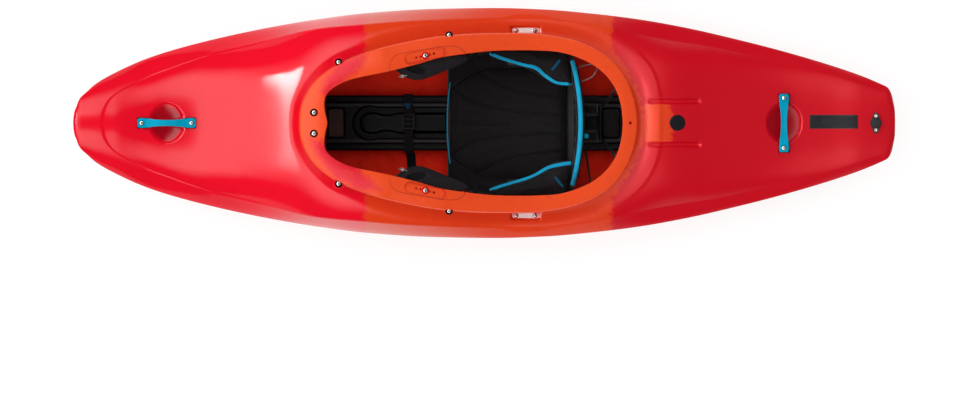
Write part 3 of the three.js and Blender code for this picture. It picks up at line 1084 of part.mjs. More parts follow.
// The backband sweeps forward at its ends, and is thinner and lower there.
const backHalf = BACKBAND_WIDTH / 2;
const backX = (y) => BACKBAND_CENTRE - BACKBAND_SWEEP * (y / backHalf) ** 2;
const backThick = (y) => BACKBAND_THICK * along(backThickShares, Math.abs(y) / backHalf);
const backTall = BACKBAND_TOP - BACKBAND_BOTTOM;
const backTop = (y) => BACKBAND_BOTTOM + backTall * (1 + along(backTallShares, Math.abs(y) / backHalf)) / 2;
const backLow = (y) => BACKBAND_BOTTOM + backTall * (1 - along(backTallShares, Math.abs(y) / backHalf)) / 2;
const backCrownScale = 1.15;
const backBody = loft(backStationShares.map((share) => {
  const y = share * backHalf;
  const [x, t, low, high, edge] = [backX(y), backThick(y) / 2, backLow(y), backTop(y), BACKBAND_ROUND];
  const ring = [[-t, low + edge], [-t * backCrownScale, (low + high) / 2], [-t, high - edge], [-t / 2, high],
    [t / 2, high], [t, high - edge], [t, low + edge], [t / 2, low], [-t / 2, low]];
  return ring.map(([dx, z]) => [x + dx, y, z]);
}));
const tabSides = reach(0, TAB_WIDTH);
const tab = block(reach(BACKBAND_CENTRE, TAB_THICK), tabSides, [PIN_HEIGHT, BACKBAND_BOTTOM + BACKBAND_THICK])
  .add(crossRod(TAB_RADIUS, tabSides).translate(pinPlace));
addMesh(outfitting, "backband", backBody.add(tab).subtract(pinHole), blackFabric);
const bindingEndShare = 0.9;
const bindingStations = backStationShares.filter((share) => Math.abs(share) < bindingEndShare);
addMesh(outfitting, "backband_binding", loft(bindingStations.map((share) => {
  const y = share * backHalf;
  const [x, low] = [backX(y), backTop(y) + GAP];
  const half = BINDING_WIDTH / 2;
  const [middle, high] = [low + BINDING_TALL / 2, low + BINDING_TALL];
  return [[-half, low], [-half, middle], [-half / 2, high], [half / 2, high], [half, middle], [half, low]]
    .map(([dx, z]) => [x + dx, y, z]);
})), blueFabric);
const webbingReach = backHalf - WEBBING_END;
const webbingStations = backStationShares.filter((share) => Math.abs(share) * backHalf < webbingReach);
addMesh(outfitting, "backband_webbing", loft(webbingStations.map((share) => {
  const y = share * backHalf;
  const x = backX(y) + backThick(y) / 2 + GAP;
  const [low, high] = reach(WEBBING_HEIGHT, WEBBING_WIDTH);
  return [[x, y, low], [x, y, high], [x + WEBBING_THICK, y, high], [x + WEBBING_THICK, y, low]];
})), webbingFabric);

// Hip pads fill the space from the pan's walls to the hips, and end just before the backband.
function hipRing(share) {
  const outerY = seatWide(share) - SEAT_WALL - HIP_CLEARANCE;
  const innerY = Math.min(seatHalf * along(hipInnerShares, share), outerY - HIP_PAD_CROWN - HIP_PAD_ROUND);
  const top = panZ + HIP_PAD_TALL;
  const low = panZ + SEAT_CORNER + GAP;
  const lean = Math.min(HIP_PAD_LEAN, (outerY - innerY) / 2);
  const [third, crown] = [(top - low) / 3, innerY - HIP_PAD_CROWN / 2];
  const face = [[outerY, low], [outerY, top - HIP_PAD_ROUND], [outerY - HIP_PAD_ROUND / 2, top],
    [innerY + HIP_PAD_ROUND / 2, top], [innerY, top - HIP_PAD_ROUND], [crown, low + 2 * third],
    [innerY + lean / 2, low + third], [innerY + lean, low]];
  return face.map(([y, z]) => {
    const rear = Math.min(SEAT_REAR, backX(y) - (backThick(y) * backCrownScale) / 2 - BACK_CLEARANCE);
    return [SEAT_FRONT + share * (rear - SEAT_FRONT), y, z];
  });
}
const hipRoom = hollowFor(SEAT_WALL + HIP_CLEARANCE);
const hipRoomTall = hipRoom.add(lowered(hipRoom, -SEAT_WALL_TALL / 3));
const hipPad = mainPiece(loft(hipStationShares.map(hipRing)).intersect(hipRoomTall));
addMesh(outfitting, "hip_pad_right", hipPad, blackFabric);
addMesh(outfitting, "hip_pad_left", hipPad.mirror([0, 1, 0]), blackFabric);

// Cords from the beam's rear end up to the coaming's underside.
const underBand = lowered(coaming, GAP).add(coaming);
const beamTrim = block([0, LENGTH], reach(0, BEAM), [0, BEAM_TOP + GAP]);
const circle = new THREE.Shape().absarc(0, 0, CORD_RADIUS, 0, 2 * Math.PI);
for (const [side, sign] of SIDES) {
  const foot = new THREE.Vector3(CORD_FOOT_X, CORD_FOOT_Y * sign, BEAM_TOP - WALL);
  const head = new THREE.Vector3(CORD_HEAD_X, CORD_HEAD_Y * sign, rimAt(CORD_HEAD_X));
  const tube = solidOf(new THREE.ExtrudeGeometry(circle, { extrudePath: new THREE.LineCurve3(foot, head),
    steps: 1, curveSegments: CORD_SIDES, bevelEnabled: false }));
  const cord = mainPiece(tube.subtract(underBand).subtract(beamTrim));
  addMesh(outfitting, `rear_cord_${side}`, cord, webbingFabric);
}

export default kayak;
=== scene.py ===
import math

import bmesh
import bpy
import numpy as np
from mathutils import Matrix, Vector
from mathutils.bvhtree import BVHTree


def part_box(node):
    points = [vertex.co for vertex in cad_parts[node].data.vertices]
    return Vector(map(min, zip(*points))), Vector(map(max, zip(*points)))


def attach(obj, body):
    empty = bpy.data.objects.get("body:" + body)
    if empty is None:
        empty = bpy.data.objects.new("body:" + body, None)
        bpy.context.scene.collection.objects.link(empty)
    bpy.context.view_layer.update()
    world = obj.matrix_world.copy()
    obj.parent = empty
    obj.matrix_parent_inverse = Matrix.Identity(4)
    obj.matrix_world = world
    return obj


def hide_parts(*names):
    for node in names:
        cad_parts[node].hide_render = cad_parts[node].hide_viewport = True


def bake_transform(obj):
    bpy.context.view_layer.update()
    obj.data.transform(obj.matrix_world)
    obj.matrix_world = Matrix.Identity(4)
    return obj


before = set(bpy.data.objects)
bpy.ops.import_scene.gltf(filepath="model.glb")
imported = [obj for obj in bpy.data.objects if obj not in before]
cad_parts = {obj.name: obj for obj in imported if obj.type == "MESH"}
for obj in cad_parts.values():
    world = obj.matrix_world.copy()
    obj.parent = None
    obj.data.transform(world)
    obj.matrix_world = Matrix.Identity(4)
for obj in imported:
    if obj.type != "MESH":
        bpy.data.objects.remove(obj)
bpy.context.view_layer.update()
MM = 0.001
scene = bpy.context.scene

# The camera looks straight down. A pixel of the picture is PX wide, and one pixel lies over the origin.
PX = 2.7595 * MM
PICTURE_WIDE, PICTURE_TALL = 965, 420
ORIGIN_X, ORIGIN_Y = 485, 123
CAMERA_HIGH = 6
camera_data = bpy.data.cameras.new("camera")
camera_data.type = "ORTHO"
camera_data.ortho_scale = PICTURE_WIDE * PX
camera_data.clip_end = 50
camera = bpy.data.objects.new("camera", camera_data)
camera.location = ((PICTURE_WIDE / 2 - ORIGIN_X) * PX, (ORIGIN_Y - PICTURE_TALL / 2) * PX, CAMERA_HIGH)
scene.collection.objects.link(camera)
scene.camera = camera
scene.view_settings.view_transform = "Standard"

SIDES = (("left", -1), ("right", 1))


def spots(*pixels):
    """The places in millimetres under pixels of the picture."""
    return np.array([[px - ORIGIN_X, ORIGIN_Y - py] for px, py in pixels]) * PX / MM


def mesh_object(name, points, faces, material=None, smooth=True):
    """An object from points in millimetres and a list of faces."""
    mesh = bpy.data.meshes.new(name)
    mesh.from_pydata((np.asarray(points, float) * MM).tolist(), [], [tuple(map(int, f)) for f in faces])
    mesh.update()
    if smooth:
        mesh.polygons.foreach_set("use_smooth", [True] * len(mesh.polygons))
    if material:
        mesh.materials.append(material)
    obj = bpy.data.objects.new(name, mesh)
    scene.collection.objects.link(obj)
    return obj


def grid_faces(rows_count, columns, wrap_rows=False, wrap_columns=False):
    """Four-sided faces between the points of a grid laid out row by row."""
    r = np.arange(rows_count if wrap_rows else rows_count - 1)
    c = np.arange(columns if wrap_columns else columns - 1)
    r, c = np.meshgrid(r, c, indexing="ij")
    r2, c2 = (r + 1) % rows_count, (c + 1) % columns
    quads = np.stack([r * columns + c, r * columns + c2, r2 * columns + c2, r2 * columns + c], axis=-1)
    return quads.reshape(-1, 4)


def outward(obj):
    """Turns every face of a closed mesh outwards."""
    made = bmesh.new()
    made.from_mesh(obj.data)
    bmesh.ops.recalc_face_normals(made, faces=made.faces)
    made.to_mesh(obj.data)
    made.free()


def auto_smooth(obj, degrees=35):
    obj.data.polygons.foreach_set("use_smooth", [True] * len(obj.data.polygons))
    obj.data.set_sharp_from_angle(angle=math.radians(degrees))


def apply_modifiers(obj):
    depsgraph = bpy.context.evaluated_depsgraph_get()
    made = bpy.data.meshes.new_from_object(obj.evaluated_get(depsgraph))
    obj.modifiers.clear()
    obj.data = made


def unit(rows):
    """Rows of numbers, each brought to a length of 1."""
    return rows / np.maximum(np.linalg.norm(rows, axis=1), 1e-9)[:, None]


def coords(obj):
    out = np.empty(len(obj.data.vertices) * 3)
    obj.data.vertices.foreach_get("co", out)
    return out.reshape(-1, 3) / MM


def set_coords(obj, xyz):
    obj.data.vertices.foreach_set("co", (np.asarray(xyz) * MM).ravel())
    obj.data.update()


def keep_values(obj, **values):
    """Keeps a number for each point of a mesh, which its material can read by name."""
    for name, value in values.items():
        layer = obj.data.attributes.new(name, "FLOAT", "POINT")
        layer.data.foreach_set("value", np.ascontiguousarray(value, dtype=np.float32))


def loft(name, rings, material=None, smooth_degrees=None):
    """A closed form through rings of points that all have the same count."""
    rings = np.array(rings, float)
    rows_count, columns = rings.shape[:2]
    faces = list(grid_faces(rows_count, columns, wrap_columns=True))
    faces += [list(range(columns))[::-1], [(rows_count - 1) * columns + k for k in range(columns)]]
    obj = mesh_object(name, rings.reshape(-1, 3), faces, material)
    outward(obj)
    if smooth_degrees:
        auto_smooth(obj, smooth_degrees)
    return obj


TURN_STEPS = 48


def lathe(name, profile, material, place):
    """A turned piece: profile is [radius, height] points from the axis round to the axis again."""
    angles = np.linspace(0, 2 * np.pi, TURN_STEPS, endpoint=False)
    profile = np.array(profile, float)
    inner = profile[profile[:, 0] > 0]
    n = len(inner)
    points = [[r * math.cos(a), r * math.sin(a), z] for a in angles for r, z in inner]
    closed = n == len(profile)
    faces = list(grid_faces(TURN_STEPS, n, wrap_rows=True, wrap_columns=closed))
    if not closed:
        first, last = len(points), len(points) + 1
        points += [[0, 0, profile[0][1]], [0, 0, profile[-1][1]]]
        for i in range(TURN_STEPS):
            j = (i + 1) % TURN_STEPS
            faces += [[first, i * n, j * n], [last, j * n + n - 1, i * n + n - 1]]
    obj = mesh_object(name, points, faces, material)
    outward(obj)
    auto_smooth(obj, 35)
    obj.data.transform(place)
    return obj


def at(x, y, z, turn=None):
    """A matrix that moves to a place in millimetres, after an optional turn."""
    moved = Matrix.Translation(Vector((x, y, z)) * MM)
    return moved @ turn if turn is not None else moved


def slot_outline(length, width, steps=14):
    r = width / 2
    points = []
    for end in (1, -1):
        for k in range(steps + 1):
            a = math.pi * (k / steps - 0.5)
            points.append([end * (length / 2 - r + math.cos(a) * r), end * math.sin(a) * r])
    return np.array(points)


def circle_outline(radius, steps=40):
    a = np.linspace(0, 2 * np.pi, steps, endpoint=False)
    return np.stack([np.cos(a), np.sin(a)], axis=1) * radius


def lifted(outline, z):
    """A flat outline at a height."""
    return np.column_stack([outline, np.full(len(outline), z)])


def prism(name, outline, low, high, place, flare=0.0, material=None):
    """A closed prism over an outline; flare widens its top."""
    wide = outline + unit(outline - outline.mean(axis=0)) * flare
    obj = loft(name, [lifted(outline, low), lifted(wide, high)], material)
    obj.data.transform(place)
    return obj


def cut(obj, outline, low, high, place, flare=0.0):
    """Cuts a prism over an outline out of a closed piece."""
    cutter = prism("cut", outline, low, high, place, flare)
    m = obj.modifiers.new("cut", "BOOLEAN")
    m.operation = "DIFFERENCE"
    m.solver = "MANIFOLD"
    m.object = cutter
    apply_modifiers(obj)
    bpy.data.objects.remove(cutter, do_unlink=True)


def smooth_path(points, steps, closed=False):
    """A smooth line through points, with steps points between each two."""
    p = np.array(points, float)
    if closed:
        p = np.vstack([p[-1], p, p[:2]])
    else:
        p = np.vstack([2 * p[0] - p[1], p, 2 * p[-1] - p[-2]])
    before, here, after, then = p[:-3], p[1:-2], p[2:-1], p[3:]
    rows = []
    for t in np.arange(steps) / steps:
        rows.append(0.5 * (2 * here + (after - before) * t
                           + (2 * before - 5 * here + 4 * after - then) * t * t
                           + (3 * here - before - 3 * after + then) * t ** 3))
    line = np.stack(rows, axis=1).reshape(-1, p.shape[1])
    return line if closed else np.vstack([line, p[-2]])


def tube(name, path, outline, material, across=None):
    """Carries an outline along a path. Its first axis is level, or lies along across if that is given."""
    path = np.array(path, float)
    ahead = unit(np.gradient(path, axis=0))
    if across is None:
        side = unit(np.cross((0, 0, 1), ahead))
    else:
        side = unit(np.array(across, float) - ahead * (ahead @ across)[:, None])
    top = np.cross(ahead, side)
    rings = [p + side[i] * outline[:, :1] + top[i] * outline[:, 1:] for i, p in enumerate(path)]
    return loft(name, rings, material, 50 if across is None else 40)


def tape(width, thick):
    """Outline of a flat strap with softened edges."""
    w, h, r = width / 2, thick / 2, thick * 0.45
    corner = np.array([[w, h - r], [w - r, h]])
    return np.vstack([[w, -h + r], corner, (corner * [-1, 1])[::-1], corner * -1, [w - r, -h]])


def gap_to(xy, a, b):
    """How each place lies from the nearest point of the straight line between a and b."""
    run = b - a
    t = np.clip(((xy - a) @ run) / max(run @ run, 1e-9), 0, 1)
    return xy - a - t[:, None] * run


def signed_distance(xy, polygon):
    """Distance from each place to a closed outline, positive inside it."""
    best = np.full(len(xy), 1e9)
    inside = np.zeros(len(xy), bool)
    for a, b in zip(polygon, np.roll(polygon, -1, 0)):
        best = np.minimum(best, np.hypot(*gap_to(xy, a, b).T))
        crosses = (a[1] > xy[:, 1]) != (b[1] > xy[:, 1])
        with np.errstate(divide="ignore", invalid="ignore"):
            inside ^= crosses & (xy[:, 0] < (b[0] - a[0]) * (xy[:, 1] - a[1]) / (b[1] - a[1]) + a[0])
    return np.where(inside, best, -best)


def line_distance(xy, line):
    """Distance from each place to an open line; positive on its left."""
    best = np.full(len(xy), 1e9)
    sign = np.ones(len(xy))
    for a, b in zip(line[:-1], line[1:]):
        away = gap_to(xy, a, b)
        d = np.hypot(*away.T)
        nearer = d < best
        best = np.where(nearer, d, best)
        sign = np.where(nearer, np.sign((b - a)[0] * away[:, 1] - (b - a)[1] * away[:, 0]), sign)
    return best * sign


def node_copy(node, name, material):
    """A separate piece with the shape of a CAD node."""
    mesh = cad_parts[node].data.copy()
    mesh.name = name
    mesh.materials.clear()
    mesh.materials.append(material)
    obj = bpy.data.objects.new(name, mesh)
    scene.collection.objects.link(obj)
    return obj


def remesh(obj, size, smooth_steps):
    m = obj.modifiers.new("voxels", "REMESH")
    m.mode = "VOXEL"
    m.voxel_size = size * MM
    m.use_smooth_shade = True
    s = obj.modifiers.new("smooth", "SMOOTH")
    s.factor = 0.5
    s.iterations = smooth_steps
    apply_modifiers(obj)


def subdivide(obj):
    m = obj.modifiers.new("fine", "SUBSURF")
    m.levels = 1
    m.render_levels = 1
    apply_modifiers(obj)
    obj.data.polygons.foreach_set("use_smooth", [True] * len(obj.data.polygons))


CLOTH_FRAMES = 20
CLOTH = {"quality": 5, "mass": 0.3, "tension_stiffness": 15, "compression_stiffness": 15,
         "shear_stiffness": 5, "bending_stiffness": 0.5, "use_pressure": True, "uniform_pressure_force": 4}


def inflate(obj, cap):
    """Blows a closed cover up as cloth, and moves no point further than cap millimetres."""
    rest = coords(obj)
    m = obj.modifiers.new("cloth", "CLOTH")
    for key, value in CLOTH.items():
        setattr(m.settings, key, value)
    m.settings.effector_weights.gravity = 0
    m.point_cache.frame_start = 1
    m.point_cache.frame_end = CLOTH_FRAMES
    for step in range(1, CLOTH_FRAMES + 1):
        scene.frame_set(step)
    apply_modifiers(obj)
    moved = coords(obj) - rest
    length = np.maximum(np.linalg.norm(moved, axis=1), 1e-9)
    set_coords(obj, rest + moved * (np.minimum(length, cap) / length)[:, None])
    scene.frame_set(1)


def srgb(red, green, blue):
    """A colour given as 0 to 255 values, in the scene's linear values."""
    out = []
    for value in (red, green, blue):
        v = value / 255
        out.append(v / 12.92 if v <= 0.04045 else ((v + 0.055) / 1.055) ** 2.4)
    return (*out, 1)


MATERIALS = {}


class Value:
    """A number in a shader, which can be reckoned with."""

    def __init__(self, shader, socket):
        self.shader, self.socket = shader, socket

    def __add__(self, other):
        return self.shader.math("ADD", self, other)

    def __sub__(self, other):
        return self.shader.math("SUBTRACT", self, other)

    def __rsub__(self, other):
        return self.shader.math("SUBTRACT", other, self)

    def __mul__(self, other):
        return self.shader.math("MULTIPLY", self, other)

    def __abs__(self):
        return self.shader.math("ABSOLUTE", self)

    __radd__ = __add__
    __rmul__ = __mul__


class Shader:
    """Short ways to make and join shader nodes. MATERIALS keeps each finished material by its name."""

    def __init__(self, name, owner=None):
        self.name = name
        self.owner = owner or bpy.data.materials.new(name)
        self.owner.use_nodes = True
        self.tree = self.owner.node_tree
        self.tree.nodes.clear()

    def join(self, socket, value):
        if isinstance(value, Value):
            value = value.socket
        if isinstance(value, bpy.types.NodeSocket):
            self.tree.links.new(value, socket)
        else:
            socket.default_value = value

    def node(self, kind, inputs=None, **settings):
        made = self.tree.nodes.new(kind)
        for key, value in settings.items():
            setattr(made, key, value)
        for key, value in (inputs or {}).items():
            self.join(made.inputs[key], value)
        return made

    def math(self, operation, *values, clamp=False):
        made = self.node("ShaderNodeMath", dict(enumerate(values)), operation=operation, use_clamp=clamp)
        return Value(self, made.outputs[0])

    def between(self, value, low, high):
        """0 at low, 1 at high, smooth between."""
        made = self.node("ShaderNodeMapRange", {0: value, 1: low, 2: high}, interpolation_type="SMOOTHSTEP")
        return Value(self, made.outputs[0])

    def beside(self, value, near, far):
        """1 where a number is nearer to 0 than near, and 0 where it is further than far."""
        return 1.0 - self.between(abs(value), near, far)

    def patches(self, low, high, *settings):
        """Soft patches of noise."""
        return self.between(self.noise(*settings), low, high)

    def ragged(self, border, rough):
        """A distance to a border, made uneven by two noises."""
        coarse = (self.noise(55, 4, 0.65) - 0.5) * rough
        grain = (self.noise(420, 3, 0.7) - 0.5) * rough
        return self.kept(border) + coarse + grain

    def mix(self, share, a, b):
        return self.node("ShaderNodeMix", {0: share, 6: a, 7: b}, data_type="RGBA").outputs[2]

    def kept(self, name):
        """A number kept on the points of the mesh."""
        return Value(self, self.node("ShaderNodeAttribute", attribute_name=name).outputs["Fac"])

    def place(self):
        return self.node("ShaderNodeNewGeometry").outputs["Position"]

    def axes(self, vector):
        """The three numbers of a vector."""
        return [Value(self, part) for part in self.node("ShaderNodeSeparateXYZ", {0: vector}).outputs]

    def noise(self, scale, detail=3, roughness=0.55, vector=None):
        inputs = {"Scale": scale, "Detail": detail, "Roughness": roughness, "Vector": vector or self.place()}
        return Value(self, self.node("ShaderNodeTexNoise", inputs).outputs[0])

    def bump(self, height, strength, distance, normal=None):
        inputs = {"Strength": strength, "Distance": distance, "Height": height}
        if normal is not None:
            inputs["Normal"] = normal
        return self.node("ShaderNodeBump", inputs).outputs[0]

    def worn(self, base, light):
        """Paler where the surface turns over an edge, as use leaves it."""
        point = self.node("ShaderNodeNewGeometry").outputs["Pointiness"]
        return self.mix(self.between(point, 0.52, 0.6) * 0.5, base, light)

    def finish(self, base, roughness, normal, level=0.5, **inputs):
        """The material, with its colour, roughness, bumps and specular level."""
        inputs.update({"Base Color": base, "Roughness": roughness, "Normal": normal,
                       "Specular IOR Level": level})
        surface = self.node("ShaderNodeBsdfPrincipled", inputs)
        self.node("ShaderNodeOutputMaterial", {0: surface.outputs[0]})
        MATERIALS[self.name] = self.owner


def shade(color, factor):
    """A colour made darker or paler."""
    return tuple(min(1, c * factor) for c in color[:3]) + (1,)


def mottled(name, rgb, roughness, spread=0.12, scale=60, grain=900, bump=0.15, level=0.22, sunk=None):
    """A surface whose colour and gloss vary a little, with a fine grain and paler edges.
    sunk names a kept share by which places are darkened with painted shade."""
    s = Shader(name)
    color = srgb(*rgb)
    base = s.mix(s.patches(0.3, 0.7, scale), shade(color, 1 - spread), shade(color, 1 + spread))
    base = s.worn(base, shade(color, 1.9 if max(color[:3]) < 0.1 else 1.25))
    # Painted shade: places in the sunk share are darkened nearly to black.
    if sunk:
        base = s.mix(s.kept(sunk) * 0.9, base, shade(color, 0.12))
    gloss = s.noise(140, 4, 0.7) * 0.2 + (roughness - 0.1)
    s.finish(base, gloss, s.bump(s.noise(grain, 2), bump, 0.0003), level)


def turned(name, rgb, roughness):
    """Metal with fine turned or brushed lines."""
    s = Shader(name)
    color = srgb(*rgb)
    stretched = s.node("ShaderNodeMapping", {"Vector": s.place(), "Scale": (1, 1, 14)}).outputs[0]
    lines = s.noise(700, 2, 0.5, stretched)
    base = s.mix(s.patches(0.3, 0.7, 90), shade(color, 0.85), shade(color, 1.08))
    s.finish(base, lines * 0.2 + (roughness - 0.08), s.bump(lines, 0.12, 0.0002), Metallic=1.0)


def woven(name, rgb, pitch=1.1, roughness=0.85, depth=0.5, dark_share=0.72, line=None):
    """Webbing or cloth: a fine crossed weave over a slightly uneven colour.
    line names a kept distance along which two rows of stitching are sunk and darkened with painted shade."""
    s = Shader(name)
    color = srgb(*rgb)
    x, y, z = s.axes(s.place())
    rate = 2 * math.pi / (pitch * MM)
    weave = s.math("SINE", (x + z) * rate) * s.math("SINE", (y + z) * rate)
    share = s.math("ADD", weave * 0.2, s.noise(45) * 0.9, clamp=True)
    base = s.mix(share, shade(color, dark_share), shade(color, 1.25))
    normal = s.bump(weave, depth, 0.0003)
    # Painted shade: the two sunk rows of stitching are darkened nearly to black.
    if line:
        sunk = s.beside(abs(s.kept(line)) - 2.6, 0.5, 1.9)
        base = s.mix(sunk * 0.75, base, shade(color, 0.18))
        normal = s.bump(sunk * -1.0, 1.0, 0.0028, normal)
    s.finish(base, roughness, normal, 0.08, **{"Sheen Weight": 0.04})


mottled("black_plastic", (24, 22, 24), 0.42)
mottled("glossy_black", (17, 15, 17), 0.24, spread=0.2, bump=0.03)
# The sunk oval of each brace gets painted shade from this material.
mottled("brace_plastic", (30, 27, 30), 0.6, spread=0.14, grain=1300, bump=0.35, level=0.1, sunk="sunk")
mottled("black_foam", (40, 38, 39), 0.92, spread=0.2, grain=1500, bump=0.5)
mottled("plate_grey", (66, 52, 48), 0.55, spread=0.18, scale=35)
mottled("blue_metal", (0, 156, 190), 0.34, spread=0.1, scale=22, level=0.04)
mottled("red_metal", (206, 6, 24), 0.34, spread=0.06, level=0.08)
mottled("white_plastic", (240, 237, 234), 0.4, spread=0.03)
mottled("rubber", (9, 8, 9), 0.6, bump=0.05, level=0.05)
mottled("cable_grey", (120, 112, 110), 0.45, spread=0.08)
mottled("label_black", (22, 22, 25), 0.35, spread=0.1, bump=0.05)
# The dark floor of the bolt sockets, which is painted shade.
mottled("socket_painted_shade", (14, 12, 13), 0.7)
# seat_fabric paints shade along the stitching of the channels on the cushion, the side pads and the backband.
woven("seat_fabric", (16, 13, 15), pitch=0.9, roughness=0.7, depth=0.35, dark_share=0.82, line="channel")
woven("blue_fabric", (26, 170, 214), pitch=1.3, roughness=0.6, dark_share=0.8)
woven("dark_blue", (14, 84, 120), pitch=1.2, roughness=0.6)
woven("webbing", (25, 24, 27), pitch=1.6, depth=0.7)
turned("steel", (176, 172, 168), 0.4)
turned("aluminium", (170, 172, 176), 0.45)


# The hull's measures, in millimetres, and its curves, in shares of them.
LENGTH, BEAM, HEIGHT, WALL = 2260, 635, 398, 6
HALF_BEAM = BEAM / 2
OPENING_FRONT = -443
OPENING_LENGTH = 823
OPENING_WIDTH = 401
OPENING_REAR = OPENING_FRONT + OPENING_LENGTH
BAND_FRONT, BAND_SIDE, BAND_REAR = 70, 48, 42
TROUGH_FRONT, TROUGH_SIDE, TROUGH_REAR = 26, 40, 61
TROUGH_DEEP = 10
LIP_DEEP = 19
LIP_THICK = 9
LIP_ROUND = 6
LIP_TOP_THICK = 8
RISER_BACK = 26
RISER_JOIN = 3
BOWL_LONG, BOWL_WIDE, BOWL_DEEP = 98, 113, 14
GROOVE_LENGTH, GROOVE_WIDTH, GROOVE_DEEP, GROOVE_SPACING = 148, 17, 8, 119

PLAN = [[0, 0.191], [0.012, 0.262], [0.025, 0.343], [0.045, 0.426], [0.084, 0.552], [0.123, 0.643],
        [0.181, 0.748], [0.24, 0.835], [0.298, 0.904], [0.357, 0.956], [0.435, 0.991], [0.513, 1],
        [0.572, 0.987], [0.63, 0.952], [0.689, 0.9], [0.747, 0.826], [0.806, 0.73], [0.865, 0.622],
        [0.923, 0.5], [0.962, 0.404], [1, 0.287]]
KEEL = [[0, 0.572], [0.008, 0.526], [0.027, 0.457], [0.047, 0.394], [0.086, 0.284], [0.125, 0.2],
        [0.164, 0.134], [0.203, 0.09], [0.242, 0.062], [0.3, 0.035], [0.36, 0.016], [0.425, 0], [0.6, 0],
        [0.66, 0.016], [0.71, 0.043], [0.768, 0.084], [0.807, 0.118], [0.846, 0.159], [0.885, 0.208],
        [0.924, 0.263], [0.963, 0.312], [1, 0.36]]
SEAM = [[0, 0.6], [0.036, 0.481], [0.068, 0.427], [0.099, 0.386], [0.13, 0.368], [0.168, 0.366],
        [0.204, 0.372], [0.246, 0.391], [0.312, 0.427], [0.388, 0.462], [0.444, 0.477], [0.5, 0.481],
        [0.556, 0.473], [0.611, 0.436], [0.667, 0.393], [0.712, 0.367], [0.759, 0.332], [0.806, 0.308],
        [0.852, 0.299], [0.899, 0.305], [0.945, 0.328], [1, 0.375]]
DECK = [[0, 0.622], [0.01, 0.63], [0.03, 0.634], [0.045, 0.633], [0.068, 0.616], [0.085, 0.598],
        [0.12, 0.583], [0.151, 0.595], [0.172, 0.627], [0.193, 0.66], [0.214, 0.701], [0.235, 0.748],
        [0.256, 0.796], [0.283, 0.86], [0.312, 0.905], [0.35, 0.924], [0.39, 0.89], [0.425, 0.85],
        [0.455, 0.815], [0.497, 0.742], [0.52, 0.7], [0.56, 0.652], [0.595, 0.632], [0.643, 0.62],
        [0.681, 0.638], [0.7125, 0.652], [0.782, 0.553], [0.852, 0.467], [0.875, 0.449], [0.898, 0.44],
        [0.922, 0.434], [0.952, 0.438], [0.975, 0.43], [0.992, 0.418], [1, 0.402]]
SHOULDER_WIDE = [[0.031, 0], [0.0358, 0.139], [0.0467, 0.243], [0.0665, 0.325], [0.0909, 0.41],
                 [0.1154, 0.475], [0.1398, 0.538], [0.164, 0.593], [0.1886, 0.637], [0.214, 0.68],
                 [0.245, 0.737], [0.27, 0.785], [0.3, 0.825], [0.347, 0.853], [0.408, 0.887], [0.5, 0.91],
                 [0.556, 0.91], [0.6, 0.885], [0.64, 0.845], [0.68, 0.785], [0.731, 0.713], [0.774, 0.668],
                 [0.835, 0.574], [0.896, 0.474], [0.957, 0.343], [0.982, 0.28], [1, 0.235]]
SHOULDER_TALL = [[0.031, 0.6338], [0.041, 0.61], [0.062, 0.548], [0.09, 0.502], [0.123, 0.484],
                 [0.166, 0.482], [0.21, 0.525], [0.258, 0.628], [0.288, 0.71], [0.318, 0.755],
                 [0.349, 0.767], [0.38, 0.753], [0.41, 0.725], [0.455, 0.66], [0.495, 0.6],
                 [0.525, 0.565], [0.56, 0.548], [0.593, 0.536], [0.64, 0.515], [0.68, 0.478],
                 [0.73, 0.43], [0.775, 0.396], [0.836, 0.361], [0.867, 0.356], [0.897, 0.365],
                 [0.928, 0.38], [0.958, 0.396], [1, 0.395]]
CHINE_WIDE = [[0, 0.5], [0.1, 0.55], [0.3, 0.6], [0.5, 0.62], [0.7, 0.66], [0.85, 0.74], [1, 0.8]]
CHINE_RISE = [[0, 0.15], [0.12, 0.12], [0.3, 0.07], [0.5, 0.05], [0.7, 0.06], [0.85, 0.12], [1, 0.2]]
COCKPIT = [
    [0, 0, 0.0097, 0, 0, 0], [0.002, 0.13, 0.003, 0.14, 0.002, 0.115],
    [0.01, 0.24, 0, 0.29, 0.008, 0.22], [0.034, 0.41, 0.011, 0.41, 0.025, 0.358],
    [0.07, 0.545, 0.043, 0.516, 0.052, 0.496], [0.115, 0.66, 0.09, 0.6, 0.096, 0.635],
    [0.175, 0.757, 0.15, 0.655, 0.155, 0.744], [0.245, 0.84, 0.22, 0.715, 0.233, 0.868],
    [0.32, 0.905, 0.31, 0.808, 0.312, 0.935], [0.4, 0.958, 0.39, 0.9, 0.384, 0.964],
    [0.47, 0.984, 0.475, 0.953, 0.452, 0.973], [0.54, 0.998, 0.557, 0.99, 0.514, 0.981],
    [0.6, 1, 0.635, 1, 0.576, 0.992], [0.67, 1, 0.715, 0.997, 0.641, 1],
    [0.74, 0.976, 0.79, 0.973, 0.711, 0.983], [0.81, 0.925, 0.86, 0.885, 0.784, 0.94],
    [0.875, 0.825, 0.915, 0.76, 0.857, 0.854], [0.925, 0.695, 0.953, 0.61, 0.914, 0.725],
    [0.964, 0.51, 0.98, 0.43, 0.96, 0.553], [0.99, 0.27, 0.995, 0.22, 0.99, 0.315],
    [1, 0, 1, 0, 1, 0]]
RIM_TALL = [[0, 0.962], [0.088, 0.992], [0.16, 1], [0.232, 0.998], [0.267, 0.99], [0.31, 0.967],
            [0.36, 0.94], [0.41, 0.912], [0.46, 0.879], [0.51, 0.844], [0.56, 0.81], [0.61, 0.781],
            [0.66, 0.754], [0.71, 0.734], [0.76, 0.726], [0.86, 0.712], [0.96, 0.706], [1, 0.704]]
